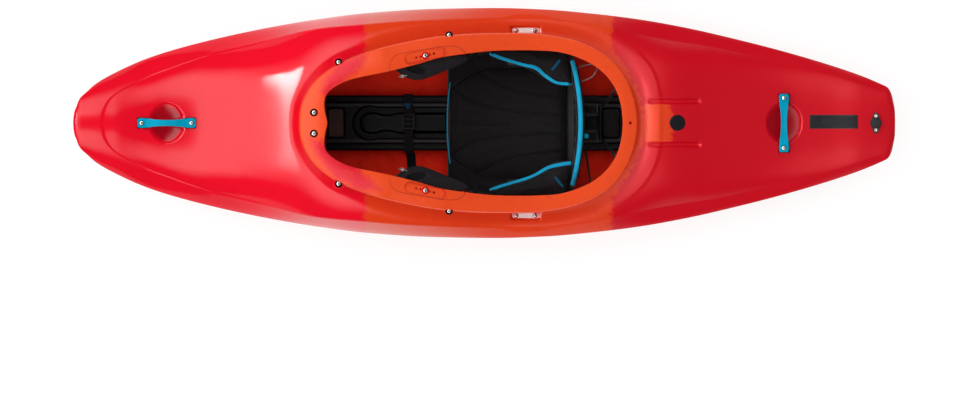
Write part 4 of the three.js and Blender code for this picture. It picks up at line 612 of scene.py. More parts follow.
LIP_TALL = [[0, 0.955], [0.088, 0.975], [0.16, 0.977], [0.232, 0.965], [0.267, 0.942], [0.377, 0.886],
            [0.45, 0.847], [0.522, 0.807], [0.594, 0.767], [0.667, 0.739], [0.739, 0.719],
            [0.846, 0.706], [0.95, 0.694], [1, 0.686]]
LIP_DEEPS = [[0, 0.75], [0.1, 1], [0.93, 1], [1, 0.62]]


def along(table, s):
    """Value at s of a smooth curve through the rows of a table, with no overshoot between rows."""
    x, y = np.array(table, float).T
    run = np.diff(x)
    rate = np.diff(y) / run
    tangent = np.empty(len(x))
    tangent[0], tangent[-1] = rate[0], rate[-1]
    a, b = rate[:-1], rate[1:]
    same = a * b > 0
    tangent[1:-1] = np.where(same, 2 * a * b / np.where(same, a + b, 1), 0)
    s = np.clip(s, x[0], x[-1])
    i = np.clip(np.searchsorted(x, s, side="right") - 1, 0, len(run) - 1)
    t = (s - x[i]) / run[i]
    t2, t3 = t * t, t * t * t
    return (y[i] * (2 * t3 - 3 * t2 + 1) + y[i + 1] * (3 * t2 - 2 * t3)
            + run[i] * (tangent[i] * (t3 - 2 * t2 + t) + tangent[i + 1] * (t3 - t2)))


def station_x(s):
    """Place along the boat, in millimetres, at a share of its length."""
    return (s - 0.5) * LENGTH


# Before this share of the length the deck has no shoulder.
APEX = 0.031


def end_rounding(s, share, power):
    """0 at an end and 1 from a share of the length on, rounded between."""
    u = np.clip(s / share, 0, 1)
    return (1 - (1 - u) ** power) ** (1 / power)


def section_sizes(s):
    """Half widths and heights of the hull's section at shares of its length."""
    closing = end_rounding(s, 0.012, 3.5) * end_rounding(1 - s, 0.012, 2.7)
    tip = end_rounding(s, 0.005, 2)
    wide = HALF_BEAM * along(PLAN, s) * closing
    seam = HEIGHT * along(SEAM, s)
    keel = seam + (HEIGHT * along(KEEL, s) - seam) * tip
    deck = seam + (HEIGHT * along(DECK, s) - seam) * tip
    shoulder_wide = np.minimum(HALF_BEAM * along(SHOULDER_WIDE, s) * closing, wide)
    return {"wide": wide, "seam": seam, "keel": keel, "deck": deck, "shoulder_wide": shoulder_wide,
            "shoulder": HEIGHT * along(SHOULDER_TALL, s), "chine_wide": wide * along(CHINE_WIDE, s),
            "chine": keel + (seam - keel) * along(CHINE_RISE, s)}


def bezier(a, b, c, d, steps):
    """Points of the curve from a to d that leans to b and c, without a."""
    t = np.linspace(0, 1, steps + 1)[1:, None]
    u = 1 - t
    a, b, c, d = (np.array(p, float) for p in (a, b, c, d))
    return u ** 3 * a + 3 * u * u * t * b + 3 * u * t * t * c + t ** 3 * d


def spread(points, count):
    """Count points evenly by length over a list of points."""
    points = np.array(points, float)
    lengths = np.concatenate([[0], np.cumsum(np.hypot(*np.diff(points, axis=0).T))])
    at_lengths = np.linspace(0, lengths[-1], count)
    return np.stack([np.interp(at_lengths, lengths, points[:, k]) for k in range(2)], axis=1)


def bottom_curve(z):
    """The section from the keel to the chine."""
    flat = [z["chine_wide"] * 0.6, z["keel"]]
    end = [z["chine_wide"], z["chine"]]
    middle = [z["chine_wide"] * 0.8, z["keel"]]
    return np.vstack([[[0, z["keel"]], flat], bezier(flat, middle, middle, end, 12)])


def side_curve(z):
    """The section from the chine to the moulding line."""
    start = [z["chine_wide"], z["chine"]]
    end = [z["wide"], z["seam"]]
    run, rise = end[0] - start[0], end[1] - start[1]
    low = [start[0] + run * 0.5, start[1] + rise * 0.08]
    high = [end[0] - run * 0.06, end[1] - rise * 0.5]
    return np.vstack([[start], bezier(start, low, high, end, 40)])


def upper_curve(z, s):
    """The section from the moulding line to the middle of the deck."""
    seam = [z["wide"], z["seam"]]
    top = [0, z["deck"]]
    if s <= APEX or z["shoulder_wide"] <= 0:
        t = min(1, s / APEX)
        crest = z["deck"] - z["seam"]
        side = [z["wide"] * 0.8, z["seam"] + crest * (0.6 - 0.25 * t)]
        high = [z["wide"] * (0.45 - 0.2 * t), z["deck"] - crest * 0.22 * t]
        return np.vstack([[seam], bezier(seam, side, high, top, 120)])
    shoulder = [z["shoulder_wide"], z["shoulder"]]
    rise = z["shoulder"] - z["seam"]
    step = z["wide"] - z["shoulder_wide"]
    bevel = bezier(seam, [z["wide"] - step * 0.2, z["seam"] + rise * 0.35],
                   [z["shoulder_wide"] + step * 0.25, z["shoulder"] - rise * 0.22], shoulder, 60)
    crown = z["deck"] - z["shoulder"]
    low = [z["shoulder_wide"] * 0.8, z["shoulder"] + crown * 0.72]
    return np.vstack([[seam], bevel, bezier(shoulder, low, [z["shoulder_wide"] * 0.5, z["deck"]], top, 60)])


def section_at(x):
    """The section's measures at a place along the boat, and its share of the length."""
    s = x / LENGTH + 0.5
    return {k: float(v) for k, v in section_sizes(s).items()}, s


def deck_at(x, y):
    """Height of the deck's outer face at a place, before it is pressed."""
    points = upper_curve(*section_at(x))
    return float(np.interp(-abs(y), -points[:, 0], points[:, 1]))


def floor_at(x, y):
    """Height of the hull's inner face under a place."""
    z, _ = section_at(x)
    points = np.vstack([bottom_curve(z), side_curve(z)])
    return float(np.interp(abs(y), points[:, 0], points[:, 1])) + WALL


# The cockpit's outlines.
HALF_OPENING = OPENING_WIDTH / 2
LIP_FRONT = OPENING_FRONT - BAND_FRONT
LIP_LENGTH = OPENING_LENGTH + BAND_FRONT + BAND_REAR
HALF_LIP = HALF_OPENING + BAND_SIDE
TROUGH_START = LIP_FRONT - TROUGH_FRONT
TROUGH_LENGTH = LIP_LENGTH + TROUGH_FRONT + TROUGH_REAR
HALF_TROUGH = HALF_LIP + TROUGH_SIDE


def lip_share(x):
    return (x - LIP_FRONT) / LIP_LENGTH


def rim_at(x):
    """Height of the coaming's inner edge."""
    return HEIGHT * along(RIM_TALL, lip_share(x))


def lip_at(x):
    """Height of the coaming's outer edge."""
    return HEIGHT * along(LIP_TALL, lip_share(x))


mirrored_rows = [[v * (-1 if k % 2 else 1) for k, v in enumerate(row)] for row in COCKPIT[-2:0:-1]]
cockpit = np.array(COCKPIT + mirrored_rows, float)
scales = np.array([LIP_LENGTH, HALF_LIP, OPENING_LENGTH, HALF_OPENING, TROUGH_LENGTH, HALF_TROUGH])
starts = np.array([LIP_FRONT, 0, OPENING_FRONT, 0, TROUGH_START, 0])
rows = smooth_path(cockpit * scales + starts, 24, closed=True)
lip, opening, trough_edge = rows[:, 0:2], rows[:, 2:4], rows[:, 4:6]
band = np.hypot(*(opening - lip).T)
CENTRE_X = -40


def in_from_lip(distance):
    """The outline at distances in from the coaming's outer edge."""
    return lip + (opening - lip) * (distance / band)[:, None]


def polar(outline):
    """Radius of an outline round the cockpit's centre, as a function of the angle."""
    angle = np.arctan2(outline[:, 1], outline[:, 0] - CENTRE_X)
    order = np.argsort(angle)
    angle, radius = angle[order], np.hypot(outline[:, 0] - CENTRE_X, outline[:, 1])[order]
    return lambda a: np.interp(a, angle, radius, period=2 * np.pi)


foot_radius = polar(in_from_lip(RISER_BACK))
mouth_radius = polar(in_from_lip(RISER_BACK + WALL / 2))
trough_radius = polar(trough_edge)


def smoothstep(low, high, value):
    """0 at low, 1 at high, smooth between."""
    t = np.clip((value - low) / (high - low), 0, 1)
    return t * t * (3 - 2 * t)


BOW_HANDLE_X = station_x(0.1113)
STERN_HANDLE_X = station_x(0.8651)
GROOVE_X = station_x(0.7308)
PLATE_X, PLATE_Y, PLATE_LONG, PLATE_WIDE = 112, 255, 74, 15
PLATE_SEAT = 217.154


def bowl_reach(x, y, centre):
    """How far places lie from a bowl's centre: 1 on its edge."""
    return np.hypot((x - centre) / (BOWL_LONG / 2), y / (BOWL_WIDE / 2))


def pressed_depth(x, y):
    """How far the deck is pressed down at places on it."""
    angle, radius = np.arctan2(y, x - CENTRE_X), np.hypot(x - CENTRE_X, y)
    foot = foot_radius(angle)
    t = (radius - foot) / np.maximum(trough_radius(angle) - foot, 1)
    depth = TROUGH_DEEP * (1 - smoothstep(0.35, 1.0, t))
    for centre in (BOW_HANDLE_X, STERN_HANDLE_X):
        depth = np.maximum(depth, BOWL_DEEP * np.sqrt(np.clip(1 - bowl_reach(x, y, centre) ** 2, 0, 1)))
    for side in (1, -1):
        v = (y - side * GROOVE_SPACING / 2) / (GROOVE_WIDTH / 2)
        u = np.clip(np.abs(x - GROOVE_X) - (GROOVE_LENGTH - GROOVE_WIDTH) / 2, 0, None) / (GROOVE_WIDTH / 2)
        depth = np.maximum(depth, GROOVE_DEEP * np.clip(1 - u * u - v * v, 0, 1) ** 0.7)
    return depth


# The hull's skin, from rings of points that run round it. They stand closer together at both ends.
STATIONS = 620
HALF = (10, 20, 96)
FIRST, NOSE_END, BOW_END, STERN_START, LAST = 0.0004, 0.06, 0.2, 0.95, 0.9995
t = np.linspace(0, 1, STATIONS)
stations = t + 0.0
stations = np.where(t < 0.08, FIRST + (t / 0.08) ** 1.6 * (NOSE_END - FIRST), stations)
stations = np.where((t >= 0.08) & (t < BOW_END), NOSE_END + (t - 0.08) / 0.12 * 0.14, stations)
stations = np.where(t > STERN_START, LAST - ((1 - t) / 0.05) ** 1.7 * (LAST - STERN_START), stations)
sizes = section_sizes(stations)
kernel = np.exp(-(np.arange(-24, 25) / 9.0) ** 2)
calm = smoothstep(0.05, 0.08, stations) * (1 - smoothstep(0.9, 0.94, stations))
for key in ("deck", "shoulder", "shoulder_wide"):
    smooth = np.convolve(np.pad(sizes[key], 24, mode="edge"), kernel / kernel.sum(), "valid")
    sizes[key] = sizes[key] + (smooth - sizes[key]) * calm
rings = []
for k, s in enumerate(stations):
    z = {key: float(value[k]) for key, value in sizes.items()}
    half = np.vstack([spread(bottom_curve(z), HALF[0] + 1), spread(side_curve(z), HALF[1] + 1)[1:],
                      spread(upper_curve(z, s), HALF[2] + 1)[1:]])
    ring = np.vstack([half, half[1:-1][::-1] * [-1, 1]])
    rings.append(np.column_stack([np.full(len(ring), station_x(s)), ring]))
rings = np.array(rings)
RING = rings.shape[1]
points = rings.reshape(-1, 3)
index = np.tile(np.arange(RING), STATIONS)
first_upper = HALF[0] + HALF[1]
upper = (index > first_upper) & (index < RING - first_upper)
below_seam = ~upper & (index != first_upper) & (index != RING - first_upper)

# Distance round the section from the moulding line at the widest place.
steps_round = np.linalg.norm(np.diff(rings[:, :first_upper + HALF[2] + 1], axis=1), axis=2)
round_half = np.concatenate([np.zeros((STATIONS, 1)), np.cumsum(steps_round, axis=1)], axis=1)
round_half = round_half - round_half[:, first_upper:first_upper + 1]
from_seam = np.concatenate([round_half, round_half[:, 1:-1][:, ::-1]], axis=1).ravel()

# The nose is one smooth dome, so that nothing of the change of section shows on it.
share_here = np.repeat(stations, RING)
wide_here, seam_here, deck_here = (np.repeat(sizes[key], RING) for key in ("wide", "seam", "deck"))
inward = np.clip(1 - (points[:, 1] / np.maximum(wide_here, 1e-6)) ** 2, 0, 1)
dome = seam_here + (deck_here - seam_here) * inward ** 0.75
on_nose = upper * (1 - smoothstep(0.055, 0.1, share_here))
points[:, 2] += (dome - points[:, 2]) * on_nose

# Both ends are a little fuller in the middle: half the width, the shares between which it grows, and how far.
for half_width, start, end, reach in ((46, 0.03, 0.0, -7.5), (60, 0.98, 1.0, 3)):
    bulge = np.clip(1 - (points[:, 1] / half_width) ** 2, 0, 1) * smoothstep(start, end, share_here)
    points[:, 0] += reach * bulge


def away_from(line, area, beyond):
    """Distance of the points in an area from a line, below 0 on the side where those beyond it are."""
    d = np.zeros(len(points))
    d[area] = line_distance(points[area, :2], line)
    return -d if d[area & beyond].mean() > 0 else d


# The step in the deck round the bow, just inside the line of the shoulder.
BOW_STEP = 1.9
half_line = smooth_path([[station_x(s), HALF_BEAM * w] for s, w in SHOULDER_WIDE[:12]], 4)
bow_outline = np.vstack([half_line[::-1], half_line[1:] * [1, -1]])
area = upper & (points[:, 0] < station_x(0.32))
d = away_from(bow_outline, area, points[:, 0] < station_x(0.02))
share = 1 - smoothstep(station_x(0.225), station_x(0.26), points[:, 0])
points[area, 2] -= (BOW_STEP * share * smoothstep(-1.5, 2.5, d) * (1 - smoothstep(12, 70, d)))[area]

points[upper, 2] -= pressed_depth(points[upper, 0], points[upper, 1])

# The rounded edge on the deck behind the cockpit.
CREST_STEP, CREST_EDGE = 1.6, 1.0
crest = spots((600, 27), (621, 37.5), (634, 48), (642.5, 57.5), (650, 67), (655, 77.5), (659.5, 95),
              (660.5, 110), (660.5, 135), (658.7, 152.5), (652.5, 170), (642.5, 185), (632.5, 195),
              (612, 212))
area = upper & (points[:, 0] > 280) & (points[:, 0] < 620)
d = away_from(smooth_path(crest, 4), area, points[:, 0] > 560)
open_share = 1 - smoothstep(150, 235, np.abs(points[:, 1]))
rise = CREST_STEP * smoothstep(-7, 5, d) * smoothstep(44, 18, d) + CREST_EDGE * np.exp(-(d / 5) ** 2)
points[area, 2] += (rise * open_share)[area]

# The flat seats of the side plates, which reach a little past the plates.
SEAT_PAST = 5
for side in (1, -1):
    u = np.abs(points[:, 0] - PLATE_X) - (PLATE_LONG + SEAT_PAST) / 2
    v = np.abs(points[:, 1] - side * PLATE_Y) - (PLATE_WIDE + SEAT_PAST) / 2
    away = np.maximum(u, v)
    flat_share = 1 - smoothstep(-1.5, 3, away)
    flat = upper & (flat_share > 0)
    low = np.minimum(points[flat, 2], PLATE_SEAT)
    points[flat, 2] += (low - points[flat, 2]) * flat_share[flat]

# The deck is open under the coaming, along the middle of the riser's wall.
faces = grid_faces(STATIONS, RING, wrap_columns=True)
angle = np.arctan2(points[:, 1], points[:, 0] - CENTRE_X)
radius = np.hypot(points[:, 0] - CENTRE_X, points[:, 1])
in_mouth = upper & (radius < mouth_radius(angle)) & (points[:, 2] > 150)
faces = faces[~in_mouth[faces].all(axis=1)]
edge_points = np.unique(faces[in_mouth[faces].any(axis=1)])
edge_points = edge_points[in_mouth[edge_points]]
target = mouth_radius(angle[edge_points]) / radius[edge_points]
points[edge_points, 0] = CENTRE_X + (points[edge_points, 0] - CENTRE_X) * target
points[edge_points, 1] *= target
caps = [list(range(RING))[::-1], [(STATIONS - 1) * RING + k for k in range(RING)]]
hull = mesh_object("hull_skin", points, list(faces) + caps)


# Where the orange starts and ends under the moulding line and over it.
ORANGE_FRONT = -672, -331
ORANGE_REAR = 374, 438
TONGUE_REAR, TONGUE_HALF = 519, 52


def paint(obj, xyz, below):
    """Keeps the distances in millimetres to the borders of the colours on the points of a piece."""
    x, y, _ = xyz.T
    front = np.where(below, *ORANGE_FRONT)
    rear = np.where(below, ORANGE_REAR[0], np.maximum(ORANGE_REAR[1] - 0.0021 * y * y, 350))
    on_tongue = ~below & (np.abs(y) < TONGUE_HALF) & (x > 440)
    rear = np.where(on_tongue, TONGUE_REAR - np.abs(y) * 0.15, rear)
    keep_values(obj, orange=np.minimum(x - front, rear - x), stern=x - 120)


def shell_material():
    s = Shader("shell_plastic")
    behind = s.between(s.kept("stern"), 0, 260)
    red = s.mix(behind, srgb(238, 10, 38), srgb(208, 0, 26))
    # Painted shade: the handle bowls are darkened to a deeper red.
    red = s.mix(s.kept("bowl") * 0.85, red, srgb(150, 0, 18))
    red = s.mix(s.patches(0.35, 0.75, 9, 3) * 0.22, red, srgb(204, 10, 30))
    red = s.mix(s.patches(0.52, 0.72, 520, 3, 0.7) * (behind * 0.3), red, srgb(150, 2, 18))
    warm = s.mix(s.patches(0.55, 0.75, 30, 4, 0.7), srgb(228, 62, 24), srgb(224, 56, 26))
    base = s.mix(s.between(s.ragged("orange", 46), -3, 3), red, warm)
    # Painted highlight: a pale pink line along the moulding line, which is also bumped.
    parting = s.beside(s.kept("round"), 0.6, 2.0)
    base = s.mix(parting * 0.35, base, srgb(255, 120, 100))
    gloss = s.noise(24, 3) * 0.06 + behind * 0.2 + 0.07
    normal = s.bump(s.noise(700, 3), 0.03, 0.0003)
    s.finish(base, gloss, s.bump(parting, 0.6, 0.0008, normal), 0.2)


def inside_material():
    """The unpolished inner face, whose orange border follows the skin's, in a brighter and more saturated red
    and orange that paint in bounced light.
    """
    s = Shader("shell_inside")
    share = s.between(s.kept("orange") + (s.noise(55, 4, 0.65) - 0.5) * 60, -20, 20)
    # Painted light: these reds are brighter and more saturated than the skin's, standing in for red light
    # bounced inside the hull.
    base = s.mix(share, srgb(246, 6, 16), srgb(250, 46, 20))
    base = s.mix(s.patches(0.4, 0.8, 24, 4, 0.7), base, srgb(232, 18, 14))
    s.finish(base, 0.6, s.bump(s.noise(500, 3), 0.1, 0.0005), 0.08)


shell_material()
inside_material()
hull.data.materials.append(MATERIALS["shell_plastic"])
hull.data.materials.append(MATERIALS["shell_inside"])
# The bowl share marks the handle bowls, where the shell's material paints shade.
bowl = np.zeros(len(points))
for centre in (BOW_HANDLE_X, STERN_HANDLE_X):
    reach = bowl_reach(points[:, 0], points[:, 1], centre)
    bowl = np.maximum(bowl, smoothstep(1.0, 0.75, reach) * upper)
paint(hull, points, below_seam)
keep_values(hull, round=from_seam, bowl=bowl)
solid = hull.modifiers.new("thickness", "SOLIDIFY")
solid.thickness = WALL * MM
solid.offset = -1
solid.material_offset = 1
outward(hull)
apply_modifiers(hull)
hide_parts("hull_shell")
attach(hull, "hull")


# The coaming: a band round the cockpit with a fold at its outer edge.
lip_z, rim_z = lip_at(lip[:, 0]), rim_at(opening[:, 0])


def band_top(distance):
    """Height of the band's top at distances in from its outer edge."""
    return lip_z + (rim_z - lip_z) * np.sin(np.pi / 2 * np.minimum(1, distance / band))


under = lip_z - LIP_DEEP * along(LIP_DEEPS, lip_share(lip[:, 0]))
foot = in_from_lip(RISER_BACK)
foot_z = np.array([deck_at(*p) for p in foot]) - TROUGH_DEEP - RISER_JOIN
ones = np.ones(len(band))
RISER_FRONT = RISER_BACK + WALL
corners = [(band, band_top(band), 2.2)]
for part in np.linspace(0.94, 0.12, 40):
    corners.append((band * part, band_top(band * part), 0))
corners += [(4.0 * ones, band_top(5.0 * ones) - 0.2, 2.5), (0 * ones, lip_z - LIP_ROUND - 1, 4.5),
            (0 * ones, under, 3.2), (LIP_THICK * ones, under, 3.2),
            (RISER_BACK * ones, lip_z - LIP_TOP_THICK, 6), (RISER_BACK * ones, foot_z, 0),
            (RISER_FRONT * ones, foot_z, 0), (RISER_FRONT * ones, band_top(RISER_FRONT * ones) - WALL, 3),
            (band, band_top(band) - WALL, 2.2)]
profile = []
for k, (d, z, r) in enumerate(corners):
    here = np.stack([d, z], axis=1)
    if not r:
        profile.append(here)
        continue
    ends = []
    for other in (corners[k - 1], corners[(k + 1) % len(corners)]):
        there = np.stack([other[0], other[1]], axis=1)
        length = np.hypot(*(there - here).T)
        ends.append(here + (there - here) * np.minimum(0.49, r / np.maximum(length, 0.01))[:, None])
    for u in np.linspace(0, 1, 6):
        profile.append(ends[0] * (1 - u) ** 2 + here * 2 * u * (1 - u) + ends[1] * u * u)
profile = np.stack(profile, axis=1)
direction = (opening - lip) / band[:, None]
ring_points = np.concatenate([lip[:, None, :] + direction[:, None, :] * profile[:, :, :1],
                              profile[:, :, 1:]], axis=2)
coaming = mesh_object("coaming", ring_points.reshape(-1, 3),
                      grid_faces(len(band), profile.shape[1], True, True))
outward(coaming)

# The middle of each thigh brace's bolt and the pocket round it, which lean with the coaming's band.
BRACE_PLACE = -165, 186, 366.864
POCKET_LONG, POCKET_WIDE = 118, 28
BRACE = {}
for side, sign in SIDES:
    ahead = Vector((0.949745, sign * 0.216542, -0.226039))
    over = Vector((-0.222295 * sign, 0.974979, 0))
    turn = Matrix((ahead, over, ahead.cross(over))).transposed().to_4x4()
    x, y, z = BRACE_PLACE
    BRACE[side] = at(x, sign * y, z) @ turn


def tops(name):
    """The middle of a CAD node's box and the height of its top."""
    lo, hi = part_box(name)
    return (lo[0] + hi[0]) / 2 / MM, (lo[1] + hi[1]) / 2 / MM, hi[2] / MM


for side, _ in SIDES:
    place = BRACE[side]
    cut(coaming, slot_outline(POCKET_LONG, POCKET_WIDE), 0, 30, place, flare=3)
    cut(coaming, circle_outline(3.5), -30, 10, place)
    for offset in (-26, -13.4, 13.4, 25.5):
        cut(coaming, circle_outline(3.2, 20), -8, 10, place @ at(offset, 0, 0))
cut(coaming, circle_outline(4.5), -40, 40, at(OPENING_REAR + BAND_REAR / 2, 0, float(rim_at(OPENING_REAR))))
for side, _ in SIDES:
    cut(coaming, circle_outline(11), -2.6, 30, at(*tops(f"front_rim_bolt_{side}")))
auto_smooth(coaming, 32)

# The raised outline round each brace pocket, and the red that runs into the orange at the front.
relief = spots((389, 73), (389.5, 66), (391.5, 60), (396, 55.5), (404, 53), (420.8, 50), (434, 48),
               (446, 46.3), (455, 46.4), (461, 48.6), (465, 52.5), (466.5, 58))
xyz = coords(coaming)
nearest = np.full(len(xyz), -99.0)
pocket = np.full(len(xyz), 99.0)
for side, sign in SIDES:
    outline = smooth_path(relief * [1, sign], 4)
    nearest = np.maximum(nearest, np.clip(signed_distance(xyz[:, :2], outline), -99, 99))
    local = np.array(BRACE[side].inverted()) @ np.column_stack([xyz * MM, np.ones(len(xyz))]).T
    d = signed_distance(local[:2].T / MM, slot_outline(POCKET_LONG, POCKET_WIDE + 2))
    pocket = np.where(np.abs(d) < np.abs(pocket), d, pocket)
upper_patch = spots((322, 92), (326, 76), (340, 63), (356, 57), (366, 56), (362, 66), (350, 76), (338, 86),
                    (328, 98))
lower_patch = spots((311, 140), (322, 141), (332, 150), (347, 158), (360, 163), (362, 174), (372, 182),
                    (380, 190), (360, 190), (336, 178), (318, 158))
red_patch = np.maximum(signed_distance(xyz[:, :2], upper_patch), signed_distance(xyz[:, :2], lower_patch))
# relief and pocket are also the distances along which the coaming's material paints shade.
keep_values(coaming, relief=nearest, pocket=pocket, red_patch=red_patch, orange=np.full(len(xyz), 99.0),
            stern=np.full(len(xyz), -200.0))


def coaming_material():
    s = Shader("coaming_plastic")
    base = s.mix(s.between(s.ragged("red_patch", 26), -16, 14), srgb(240, 76, 28), srgb(222, 22, 44))
    base = s.mix(s.patches(0.55, 0.8, 28, 4, 0.7), base, srgb(230, 62, 28))
    # Painted shade: darker lines along the raised outline round each brace pocket and along the pocket's
    # edge.
    base = s.mix(s.beside(s.kept("relief"), 0.6, 2.4) * 0.4, base, srgb(190, 40, 10))
    base = s.mix(s.beside(s.kept("pocket"), 0.6, 2.6) * 0.5, base, srgb(180, 34, 8))
    normal = s.bump(s.noise(700, 3), 0.06, 0.0004)
    normal = s.bump(s.between(s.kept("relief"), -1.4, 1.4), 1.0, 0.0026, normal)
    s.finish(base, s.noise(30, 3) * 0.12 + 0.2, normal, 0.2)


coaming_material()
coaming.data.materials.clear()
coaming.data.materials.append(MATERIALS["coaming_plastic"])
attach(coaming, "hull")
bpy.context.view_layer.update()


def tree_of(*objects):
    """A tree that rays can be cast against, of several pieces at once."""
    verts, polys = [], []
    for obj in objects:
        start = len(verts)
        verts += [v.co.copy() for v in obj.data.vertices]
        polys += [[start + k for k in p.vertices] for p in obj.data.polygons]
    return BVHTree.FromPolygons(verts, polys)


DECK_TREE = tree_of(hull, coaming)


def top_of(tree, x, y, default=0.0):
    """Height of the highest face under a place."""
    hit = tree.ray_cast(Vector((x, y, 600)) * MM, Vector((0, 0, -1)))[0]
    return hit.z / MM if hit else default


def piece(obj, body, slot, *nodes):
    """Fixes a piece to a body, and hides the CAD nodes it stands for. slot, the finish it takes, is not used.
    """
    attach(obj, body)
    if nodes:
        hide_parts(*nodes)
    return obj


def joined(name, objects):
    """One piece made of several, each with its own material."""
    first = objects[0]
    made = bmesh.new()
    materials = []
    for obj in objects:
        offset = len(materials)
        materials += list(obj.data.materials)
        before = len(made.faces)
        made.from_mesh(obj.data)
        made.faces.ensure_lookup_table()
        for face in made.faces[before:]:
            face.material_index += offset
    for obj in objects[1:]:
        bpy.data.objects.remove(obj, do_unlink=True)
    mesh = bpy.data.meshes.new(name)
    made.to_mesh(mesh)
    made.free()
    for material in materials:
        mesh.materials.append(material)
    first.data = mesh
    first.name = name
    return first


# Bolts: a domed steel head with a socket, in a black cup.
SHANK = 2.8
SOCKET = 0.44


def head_profile(radius, tall):
    return [[0, -6], [SHANK, -6], [SHANK, 0], [radius, 0], [radius, tall * 0.45], [radius * 0.93, tall * 0.8],
            [radius * 0.72, tall], [radius * 0.5, tall], [radius * SOCKET, tall - 0.3],
            [radius * SOCKET, tall - 2.2], [0, tall - 2.2]]


def cup_profile(radius, tall):
    inner = radius * 0.42
    return [[inner, 0], [radius * 0.97, 0], [radius, 0.5], [radius * 0.93, tall * 0.7],
            [radius * 0.82, tall], [radius * 0.7, tall * 0.97], [radius * 0.6, tall * 0.45],
            [inner, tall * 0.42]]


def bolt(name, node, place, radius, tall, socket, shank=None, under=None):
    """A steel bolt whose head starts at a place, with its socket, its shank and the rubber under its head.
    socket is the radius and the height of the socket's floor, shank its lowest and highest points."""
    parts = [lathe("head", head_profile(radius, tall), MATERIALS["steel"], place)]
    if shank:
        low, high = shank
        profile = [[0, low], [SHANK, low], [SHANK, high], [0, high]]
        parts.append(lathe("shank", profile, MATERIALS["steel"], place))
    if under is not None:
        parts.append(lathe("under", under, MATERIALS["rubber"], place))
    # Painted shade: a dark hexagon on the socket's floor.
    wide, top = socket
    outline = circle_outline(wide, 6)
    parts.append(prism("socket", outline, top - 0.2, top, place, material=MATERIALS["socket_painted_shade"]))
    piece(joined(name, parts), "hull", "steel", node)


def washer(name, profile, place, *nodes):
    """A red washer under a bolt."""
    piece(lathe(name, profile, MATERIALS["red_metal"], place), "hull", "red_metal", *nodes)


for base, cup, head, sunk in (("front_rim_bolt", 11.2, 5.6, 4), ("side_rim_bolt", 10.4, 5.4, 4),
                              ("deck_bolt", 10.4, 5.4, 4.2)):
    for side, _ in SIDES:
        name = f"{base}_{side}"
        x, y, z = tops(name)
        place = at(x, y, z - sunk)
        bolt(f"{name}_set", name, place @ at(0, 0, 1.2), head, 3.6, (head * SOCKET, 1.45),
             under=np.array(cup_profile(cup, 4.4)) - [0, 1.8])
        if base == "side_rim_bolt":
            profile = [[0, -10], [15.5, -10], [15.5, -2.0], [14.5, -0.9], [11.5, -0.6], [10, -0.7], [0, -0.7]]
            boss = lathe(f"bolt_boss_{side}", profile, MATERIALS["shell_plastic"], place)
            xyz = coords(boss)
            paint(boss, xyz, np.zeros(len(xyz), bool))
            keep_values(boss, round=np.full(len(xyz), 99.0), bowl=np.zeros(len(xyz)))
            piece(boss, "hull", "shell_plastic")

# Washers and bolts in the brace pockets.
for side, _ in SIDES:
    place = BRACE[side]
    washer(f"brace_washer_{side}", [[3.2, 0.3], [9.2, 0.3], [10, 0.8], [10, 1.6], [9.2, 2.3], [7.6, 2.3],
                                    [7, 1.7], [3.2, 1.7]], place, f"thigh_brace_washer_{side}")
    bolt(f"brace_bolt_{side}", f"thigh_brace_bolt_{side}", place @ at(0, 0, 2.2), 6.2, 3.8, (2.7, 1.7),
         shank=(-21.2, -0.2))

# Side plates: a thin plate with rounded ends, a red washer and a bolt at each end.
for side, _ in SIDES:
    x, y, z = tops(f"side_plate_{side}")
    outline = slot_outline(PLATE_LONG, PLATE_WIDE, 10)
    rings = []
    for inset, height in ((0.8, -3.0), (0, -2.4), (0, -0.9), (0.9, 0)):
        rings.append(lifted(outline * (1 - inset / 14), height) + [x, y, z])
    plate = loft(f"plate_{side}", rings, MATERIALS["white_plastic"])
    for end in ("front", "rear"):
        bx, by, _ = tops(f"side_plate_bolt_{side}_{end}")
        cut(plate, circle_outline(3.6), -9, 9, at(bx, by, z))
        washer(f"plate_washer_{side}_{end}", [[3.2, 0.1], [6.2, 0.1], [6.9, 0.5], [6.6, 1.3], [5.4, 1.5],
                                              [3.2, 1.5]], at(bx, by, z))
        bolt(f"plate_bolt_{side}_{end}", f"side_plate_bolt_{side}_{end}", at(bx, by, z + 1.6), 4.4, 2.6,
             (1.9, 1.6), shank=(-15.6, -0.1))
    auto_smooth(plate, 40)
    piece(plate, "hull", "white_plastic", f"side_plate_{side}")


# Grab handles: an arched bar with a waist, flat ends and a screw in each.
LIFT = [[0, 1], [0.3, 0.86], [0.55, 0.32], [0.72, 0], [1, 0]]
WAIST = [[0, 0.62], [0.25, 0.66], [0.5, 0.8], [0.72, 0.97], [0.9, 1], [0.96, 0.93], [1, 0.78]]


HANDLE_HALF, SCREW_OUT, HANDLE_WIDE, HANDLE_RISE, HANDLE_THICK = 80, 69, 13.5, 15, 7


